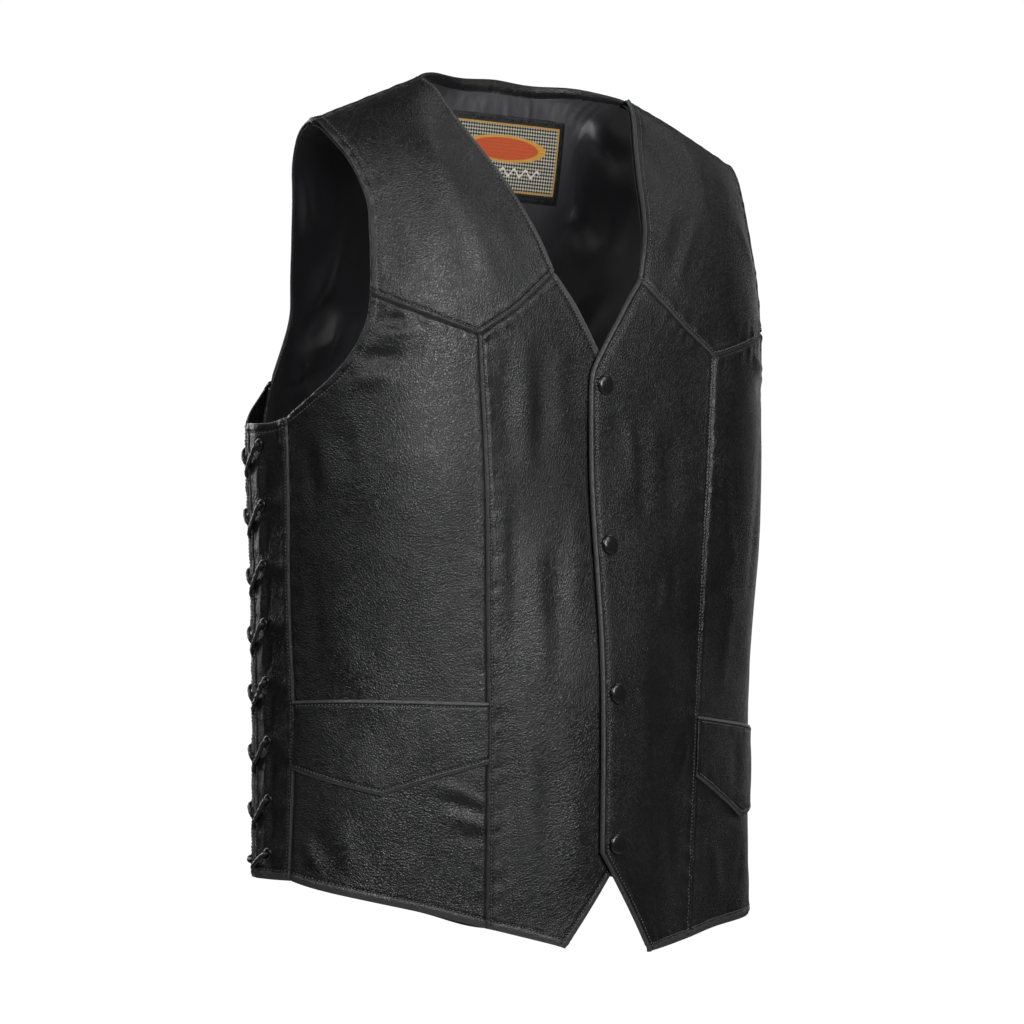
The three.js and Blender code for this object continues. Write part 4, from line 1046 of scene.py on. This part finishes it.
def turned(kind, side, turn, level, out):
    profile, segments = kind["profile"], kind["segments"]
    centre = clothPoint(side, np.array([turn]), np.array([level]), np.array([out]))[0]
    normal = formNormal(np.array([side * turn]), np.array([level]))[0]
    across = np.cross((0, 0, 1), normal)
    across /= np.linalg.norm(across)
    up = np.cross(normal, across)
    angles = np.arange(segments) / segments * 2 * math.pi
    spokes = np.cos(angles)[:, None] * across + np.sin(angles)[:, None] * up
    points = np.vstack([centre + r * spokes + h * normal for r, h in profile])
    n = np.arange(segments)
    m = (n + 1) % segments
    faces = [np.stack([k * segments + n, (k + 1) * segments + n, (k + 1) * segments + m, k * segments + m], -1)
             for k in range(len(profile) - 1)]
    return points, np.vstack(faces)


def gathered(parts):
    points, faces, start = [], [], 0
    for somePoints, someFaces in parts:
        points.append(somePoints)
        faces.append(someFaces + start)
        start += len(somePoints)
    return np.vstack(points), np.vstack(faces)


def welded(piece, distance=0.00003):
    shape = bmesh.new()
    shape.from_mesh(piece.data)
    bmesh.ops.remove_doubles(shape, verts=shape.verts, dist=distance)
    bmesh.ops.recalc_face_normals(shape, faces=shape.faces)
    shape.to_mesh(piece.data)
    shape.free()
    return piece


caps = gathered([turned(snaps, 1, snaps["turn"], level, snaps["seat"]) for level in snaps["levels"]])
finished(welded(makePiece("snapCaps", *caps, "enamel")), "enamel", *[f"snap_cap_{k}" for k in range(1, 5)])
for name, side in sides.items():
    rings = gathered([turned(eyelets, side, besideGap(across, level)[0], level, 0.0)
                      for across in (-eyeletAcross["front"], eyeletAcross["back"]) for level in eyeletLevels])
    finished(welded(makePiece(f"eyelets{name.capitalize()}", *rings, "enamel")), "enamel",
             *[f"eyelet_{where}_{name}_{k}" for where in ("front", "back") for k in range(1, 9)])
print("stage: snaps and eyelets")

# Side laces: one braided cord a side, criss-crossed from eyelet to eyelet. Rows give the distance from
# the eyelet it leaves, from the middle of the opening or from the eyelet it reaches, and the height off
# the leather; end rows have the drop between the two.
lace = {
    "radius": 2.05, "fullness": 1.04, "squash": 0.3, "sides": 14, "step": 0.55, "strands": 4, "depth": 0.6,
    "turnLength": 10.5, "start": -2.6, "clear": 6,
    "over": ((0, 0.9), (0.7, 2.2), (2.6, 2.6), (6.5, 2.0), (13, 1.7)),
    "gap": ((4.6, 1.7), (1.9, 0.8), (0, -0.9), (-1.9, -3.0), (-4.6, -4.2)),
    "under": ((2.4, -5.6), (0, -4.3), (0, -2.6)), "crossing": {-1: 0.50, 1: 0.28},
    "end": ((0, 0, 0.9), (0.8, 0.5, 2.2), (2.8, 1.2, 2.7)),
    "endGap": ((4.6, 3, 2.0), (1.7, 3.5, 0.8), (1.0, 3.8, -3), (1.0, 4, -5.5)), "endLower": 5,
}


# A point beside the opening, and the way out of the leather there
def lacePlace(side, across, level, out):
    turn, level = (np.array([value]) for value in besideGap(across, level))
    point = clothPoint(side, turn, level, np.array([float(out)]))[0]
    return np.hstack([point, formNormal(side * turn, level)[0]])


def eyeletReach(sign):
    return eyeletAcross["front"] if sign < 0 else eyeletAcross["back"]


def laceStrand(side, startSign):
    stations = []
    for k, (level, following) in enumerate(zip(eyeletLevels, eyeletLevels[1:])):
        sign = startSign if k % 2 == 0 else -startSign
        near, far, crossing = eyeletReach(sign), eyeletReach(-sign), lace["crossing"][sign]
        if k == 0:
            stations.append(lacePlace(side, sign * near, level, lace["start"]))
        for across, run, out in (
                [(sign * (near - a), a, out) for a, out in lace["over"] if near - a > lace["clear"]]
                + [(sign * a, near - a, out) for a, out in lace["gap"]]
                + [(-sign * (far - a), near + far - a, out) for a, out in lace["under"]]):
            share = np.interp(run, (0, near, near + far), (0, crossing, 1))
            stations.append(lacePlace(side, across, level + share * (following - level), out))
    endSign = -startSign if len(eyeletLevels) % 2 == 0 else startSign
    near, lower = eyeletReach(endSign), lace["endLower"] if endSign < 0 else 0
    last = eyeletLevels[-1]
    stations += [lacePlace(side, endSign * (near - a), last - d, out) for a, d, out in lace["end"]]
    return stations + [lacePlace(side, endSign * a, last - d - lower, out) for a, d, out in lace["endGap"]]


def laceBar(side):
    back, front = eyeletAcross["back"], -eyeletAcross["front"]
    rows = ((back - 0.2, -4.1), (back - 2.2, -5.3), (back - 7, -4.9), (-5, -4.6), (front + 7, -4.9),
            (front + 2.2, -5.3), (front + 0.2, -4.1))
    return [lacePlace(side, across, eyeletLevels[0], out) for across, out in rows]


def rounded(stations, step):
    line = splineLine(np.array(stations), 14)
    run = np.concatenate([[0], np.cumsum(np.linalg.norm(np.diff(line[:, :3], axis=0), axis=1))])
    even = np.linspace(0, run[-1], int(run[-1] / step))
    return np.stack([np.interp(even, run, line[:, n]) for n in range(line.shape[1])], -1), even


# A braided cord, pressed a little flat: its skin rises where its strands pass over, both ways round
def braidedCord(name, stations, finish):
    spine, run = rounded(stations, lace["step"])
    spine, outward = spine[:, :3], spine[:, 3:] / np.linalg.norm(spine[:, 3:], axis=1, keepdims=True)
    tangents = np.gradient(spine, axis=0)
    tangents /= np.linalg.norm(tangents, axis=1, keepdims=True)
    across = np.cross((0, 0, 1), tangents[0])
    frames = []
    for tangent in tangents:
        across = across - tangent * (across @ tangent)
        across /= np.linalg.norm(across)
        frames.append((across, np.cross(tangent, across)))
    aside, above = np.moveaxis(np.array(frames), 1, 0)
    angles = np.arange(lace["sides"]) / lace["sides"] * 2 * math.pi
    twist = run[:, None] / lace["turnLength"] * 2 * math.pi
    half = lace["strands"] / 2
    one, other = np.cos(half * (angles + twist)), np.cos(half * (angles - twist))
    skin = lace["radius"] * lace["fullness"] - lace["depth"] * (1 - np.maximum(one, other) ** 2)
    ring = np.cos(angles)[None, :, None] * aside[:, None] + np.sin(angles)[None, :, None] * above[:, None]
    body = ring * skin[..., None]
    body -= lace["squash"] * (body @ outward[..., None]) * outward[:, None]
    points = (spine[:, None] + body).reshape(-1, 3)
    index = np.arange(len(points)).reshape(len(spine), lace["sides"])
    beside = np.roll(index, -1, axis=1)
    faces = np.stack([index[:-1], beside[:-1], beside[1:], index[1:]], -1).reshape(-1, 4).tolist()
    faces += [index[0, ::-1].tolist(), index[-1].tolist()]
    return makePiece(name, points, faces, finish), run[-1]


for name, side in sides.items():
    stations = laceStrand(side, -1)[::-1] + laceBar(side)[::-1] + laceStrand(side, 1)
    piece, length = braidedCord(f"sideLace{name.capitalize()}", stations, "lace")
    finished(piece, "lace", f"side_lace_{name}")
    print("   lace length", round(float(length)), "mm")
print("stage: laces")

# Topstitching: Geometry Nodes lays a stitch every few millimetres along the sewing lines, with a near-black cone
# of painted shade at each needle hole
sewing = {"pitch": 2.6, "length": 1.75, "bar": 0.7, "tip": 0.15, "dip": 0.3, "radius": 0.58, "hole": 0.62,
          "holeTaper": 0.8, "holeDepth": 0.36, "seed": 5, "jitter": 0.12, "sink": 0.02, "clear": 4.0}


def coneShape(radius, farRadius, depth):
    shape = bmesh.new()
    bmesh.ops.create_cone(shape, cap_ends=True, segments=6, radius1=radius * millimetre,
                          radius2=farRadius * millimetre, depth=depth * millimetre)
    return shape


def shapeObject(name, shape, smoothed):
    mesh = bpy.data.meshes.new(name)
    shape.to_mesh(mesh)
    shape.free()
    mesh.polygons.foreach_set("use_smooth", [smoothed] * len(mesh.polygons))
    return bpy.data.objects.new(name, mesh)


# A stitch: a short round bar whose ends dip into the leather
def stitchShape():
    shape = coneShape(sewing["radius"], sewing["radius"], sewing["length"] * sewing["bar"])
    bmesh.ops.rotate(shape, verts=shape.verts, cent=(0, 0, 0), matrix=Matrix.Rotation(math.pi / 2, 3, "Y"))
    for cap in [face for face in shape.faces if len(face.verts) > 4]:
        tip = cap.calc_center_median()
        poke = bmesh.ops.poke(shape, faces=[cap])
        along = sewing["length"] * sewing["tip"] * millimetre
        down = -sewing["dip"] * sewing["radius"] * millimetre
        poke["verts"][0].co = tip + Vector((math.copysign(along, tip.x), 0, down))
    return shapeObject("stitch", shape, True)


# The needle hole between two stitches: a small near-black cone, painted shade standing in for the shadow in the
# hole
def holeShape():
    shape = coneShape(sewing["hole"], sewing["hole"] * sewing["holeTaper"], sewing["holeDepth"])
    middle = (sewing["pitch"] / 2 * millimetre, 0, sewing["sink"] * millimetre)
    bmesh.ops.translate(shape, verts=shape.verts, vec=middle)
    return shapeObject("needleHole", shape, False)


def stitchNodes():
    tree = bpy.data.node_groups.new("stitchRow", "GeometryNodeTree")
    face = tree.interface
    face.new_socket("Geometry", in_out="INPUT", socket_type="NodeSocketGeometry")
    for label, kind in (("Pitch", "Float"), ("Stitch", "Object"), ("Hole", "Object"), ("Jitter", "Float"),
                        ("Seed", "Int"), ("Thread", "Material"), ("Shade", "Material")):
        face.new_socket(label, in_out="INPUT", socket_type="NodeSocket" + kind)
    face.new_socket("Geometry", in_out="OUTPUT", socket_type="NodeSocketGeometry")
    given = tree.nodes.new("NodeGroupInput").outputs
    curve = addNode(tree, "GeometryNodeMeshToCurve", {"Mesh": given["Geometry"]}).outputs["Curve"]
    even = addNode(tree, "GeometryNodeResampleCurve", {"Curve": curve, "Length": given["Pitch"]}, mode="LENGTH")
    tangent = tree.nodes.new("GeometryNodeInputTangent").outputs["Tangent"]
    stand = addNode(tree, "GeometryNodeInputNamedAttribute", {"Name": "stand"}, data_type="FLOAT_VECTOR")
    align = "FunctionNodeAlignRotationToVector"
    along = addNode(tree, align, {"Vector": tangent}, axis="X").outputs["Rotation"]
    upright = addNode(tree, align, {"Rotation": along, "Vector": stand.outputs["Attribute"]}, axis="Z",
                      pivot_axis="X")
    low, high = (mathNode(tree, way, 1, given["Jitter"]) for way in ("SUBTRACT", "ADD"))
    vary = addNode(tree, "FunctionNodeRandomValue", {2: low, 3: high, "Seed": given["Seed"]}, data_type="FLOAT")
    both = tree.nodes.new("GeometryNodeJoinGeometry")
    for shape, material in (("Stitch", "Thread"), ("Hole", "Shade")):
        source = addNode(tree, "GeometryNodeObjectInfo", {"Object": given[shape]}).outputs["Geometry"]
        placed = addNode(tree, "GeometryNodeInstanceOnPoints", {
            "Points": even.outputs["Curve"], "Instance": source, "Rotation": upright.outputs["Rotation"],
            "Scale": vary.outputs[1]}).outputs["Instances"]
        real = addNode(tree, "GeometryNodeRealizeInstances", {"Geometry": placed}).outputs["Geometry"]
        dressed = addNode(tree, "GeometryNodeSetMaterial", {"Geometry": real, "Material": given[material]})
        tree.links.new(dressed.outputs["Geometry"], both.inputs["Geometry"])
    addNode(tree, "NodeGroupOutput", {"Geometry": both.outputs["Geometry"]})
    return tree


# The sewing line at a distance inside one edge of a panel, on its leather
def sewingLine(grid, border, inset, start=0.0, end=1.0):
    surface = grid["base"] + grid["normal"] * (grid["out"] - sewing["sink"])[..., None]
    flip = border in ("top", "bottom")
    others = [name for name in ("left", "right", "top", "bottom") if name != border]
    rowsFirst = (lambda a: np.swapaxes(a, 0, 1)) if flip else (lambda a: a)
    shares = rowsFirst(grid["u"] if flip else grid["v"])
    distances, surface, normals = rowsFirst(grid[border]), rowsFirst(surface), rowsFirst(grid["normal"])
    beside = [rowsFirst(grid[name]) for name in others]
    points, stands = [], []
    for j, d in enumerate(distances):
        way = 1 if d[0] < d[-1] else -1
        d = d[::way]
        pick = lambda row: np.interp(inset, d, row[::way])
        if start <= pick(shares[j]) <= end and min(pick(b[j]) for b in beside) > sewing["clear"]:
            points.append([pick(surface[j][:, n]) for n in range(3)])
            stands.append([pick(normals[j][:, n]) for n in range(3)])
    return np.array(points), np.array(stands)


def stitching(name, rows):
    vertices, edges, stands = [], [], []
    for panel, *row in rows:
        points, normals = sewingLine(panels[panel], *row)
        edges += [(len(vertices) + k, len(vertices) + k + 1) for k in range(len(points) - 1)]
        vertices += (points * millimetre).tolist()
        stands += normals.tolist()
    mesh = bpy.data.meshes.new(name + "Lines")
    mesh.from_pydata(vertices, edges, [])
    mesh.attributes.new("stand", "FLOAT_VECTOR", "POINT").data.foreach_set("vector", np.ravel(stands))
    line = bpy.data.objects.new(name + "Lines", mesh)
    bpy.context.scene.collection.objects.link(line)
    modifier = line.modifiers.new("stitches", "NODES")
    modifier.node_group = stitchTree
    values = {"Pitch": sewing["pitch"] * millimetre, "Stitch": stitchObject, "Hole": holeObject,
              "Jitter": sewing["jitter"], "Seed": sewing["seed"], "Thread": finishes["thread"],
              "Shade": finishes["shade"]}
    for item in stitchTree.interface.items_tree:
        if item.in_out == "INPUT" and item.name in values:
            modifier[item.identifier] = values[item.name]
    line.update_tag()
    bpy.context.view_layer.update()
    result = bpy.data.meshes.new_from_object(line.evaluated_get(bpy.context.evaluated_depsgraph_get()))
    result.name = name
    bpy.data.objects.remove(line)
    piece = bpy.data.objects.new(name, result)
    bpy.context.scene.collection.objects.link(piece)
    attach(piece, "root")
    print("  ", name, len(result.polygons), "faces")


# Sewing lines of each panel as (edge, distance from it)
seamLines = {
    "frontYoke": (("left", 6.2), ("right", 6.2), ("bottom", 3.3)),
    "frontCenter": (("left", 6.2), ("bottom", 6.2), ("right", 3.3)),
    "frontSide": (("bottom", 6.2), ("right", 6.2, 0, underarmEnd)),
    "pocketBand": (("top", 3.4), ("bottom", 3.4)),
    "laceBandFront": (("left", 3.3), ("top", 6.2), ("bottom", 6.2), ("right", 4.2)),
    "laceBandBack": (("right", 3.3), ("top", 6.2), ("bottom", 6.2), ("left", 4.2)),
}
backSeams = (("top", 6.2, neckStart, 1 - neckStart), ("bottom", 6.2),
             ("left", 6.2, 0, armholeEnd), ("right", 6.2, 0, armholeEnd))
stitchTree, stitchObject, holeObject = stitchNodes(), stitchShape(), holeShape()
for label in ("Right", "Left"):
    stitching(f"stitching{label}", [(panel + label, *row) for panel, rows in seamLines.items() for row in rows])
stitching("stitchingBack", [("backPanel", *row) for row in backSeams])
print("stage: stitching")

# Studio
world = bpy.data.worlds.new("studio")
world.use_nodes = True
worldTree = world.node_tree
backdrop = worldTree.nodes["Background"]
backdrop.inputs["Color"].default_value = (0.95, 0.95, 0.95, 1)
seen = addNode(worldTree, "ShaderNodeLightPath").outputs["Is Camera Ray"]
worldTree.links.new(ramp(worldTree, seen, 0.04, 1.08), backdrop.inputs["Strength"])
bpy.context.scene.world = world
bpy.context.scene.view_settings.view_transform = "Standard"


floorLook = {"height": -1.5, "size": 8, "color": (0.82, 0.82, 0.82, 1), "roughness": 0.9, "glow": 0.75}


def addFloor(look):
    size, height = look["size"], look["height"]
    mesh = bpy.data.meshes.new("studioFloor")
    corners = ((-1, -1), (1, -1), (1, 1), (-1, 1))
    mesh.from_pydata([(x * size, y * size, height) for x, y in corners], [], [(0, 1, 2, 3)])
    material, tree, shader = newMaterial("paleFloor")
    shader.inputs["Base Color"].default_value = shader.inputs["Emission Color"].default_value = look["color"]
    shader.inputs["Roughness"].default_value = look["roughness"]
    straight = addNode(tree, "ShaderNodeLightPath").outputs["Is Camera Ray"]
    tree.links.new(ramp(tree, straight, 0, look["glow"]), shader.inputs["Emission Strength"])
    mesh.materials.append(material)
    floor = bpy.data.objects.new("studioFloor", mesh)
    bpy.context.scene.collection.objects.link(floor)


lightTarget = Vector((0, 0, -0.28))


def addLight(name, azimuth, elevation, distance, size, power):
    away = wayTo(math.radians(azimuth), math.radians(elevation))
    data = bpy.data.lights.new(name, "AREA")
    data.shape = "RECTANGLE"
    data.size = data.size_y = size
    data.energy = power
    light = bpy.data.objects.new(name, data)
    light.location = lightTarget + away * distance
    light.rotation_euler = away.to_track_quat("Z", "Y").to_euler()
    bpy.context.scene.collection.objects.link(light)


addFloor(floorLook)
# Lights as (name, azimuth, elevation, distance, size, power), in degrees, metres and watts
for row in (("keyLight", 3, 14, 1.3, 0.5, 9.0), ("highLight", 55, 30, 1.3, 0.5, 5.2),
            ("neckLight", -20, 30, 1.3, 0.5, 2.8), ("rightRim", 100, 26, 2.6, 1.1, 5.8),
            ("leftRim", -80, 52, 2.6, 1.1, 5.0), ("leftSide", -112, 10, 2.6, 1.1, 2.5),
            ("backLight", 181, 18, 1.6, 0.8, 11.0), ("backTop", 180, 48, 2.6, 1.1, 10)):
    addLight(*row)
print("stage: studio")
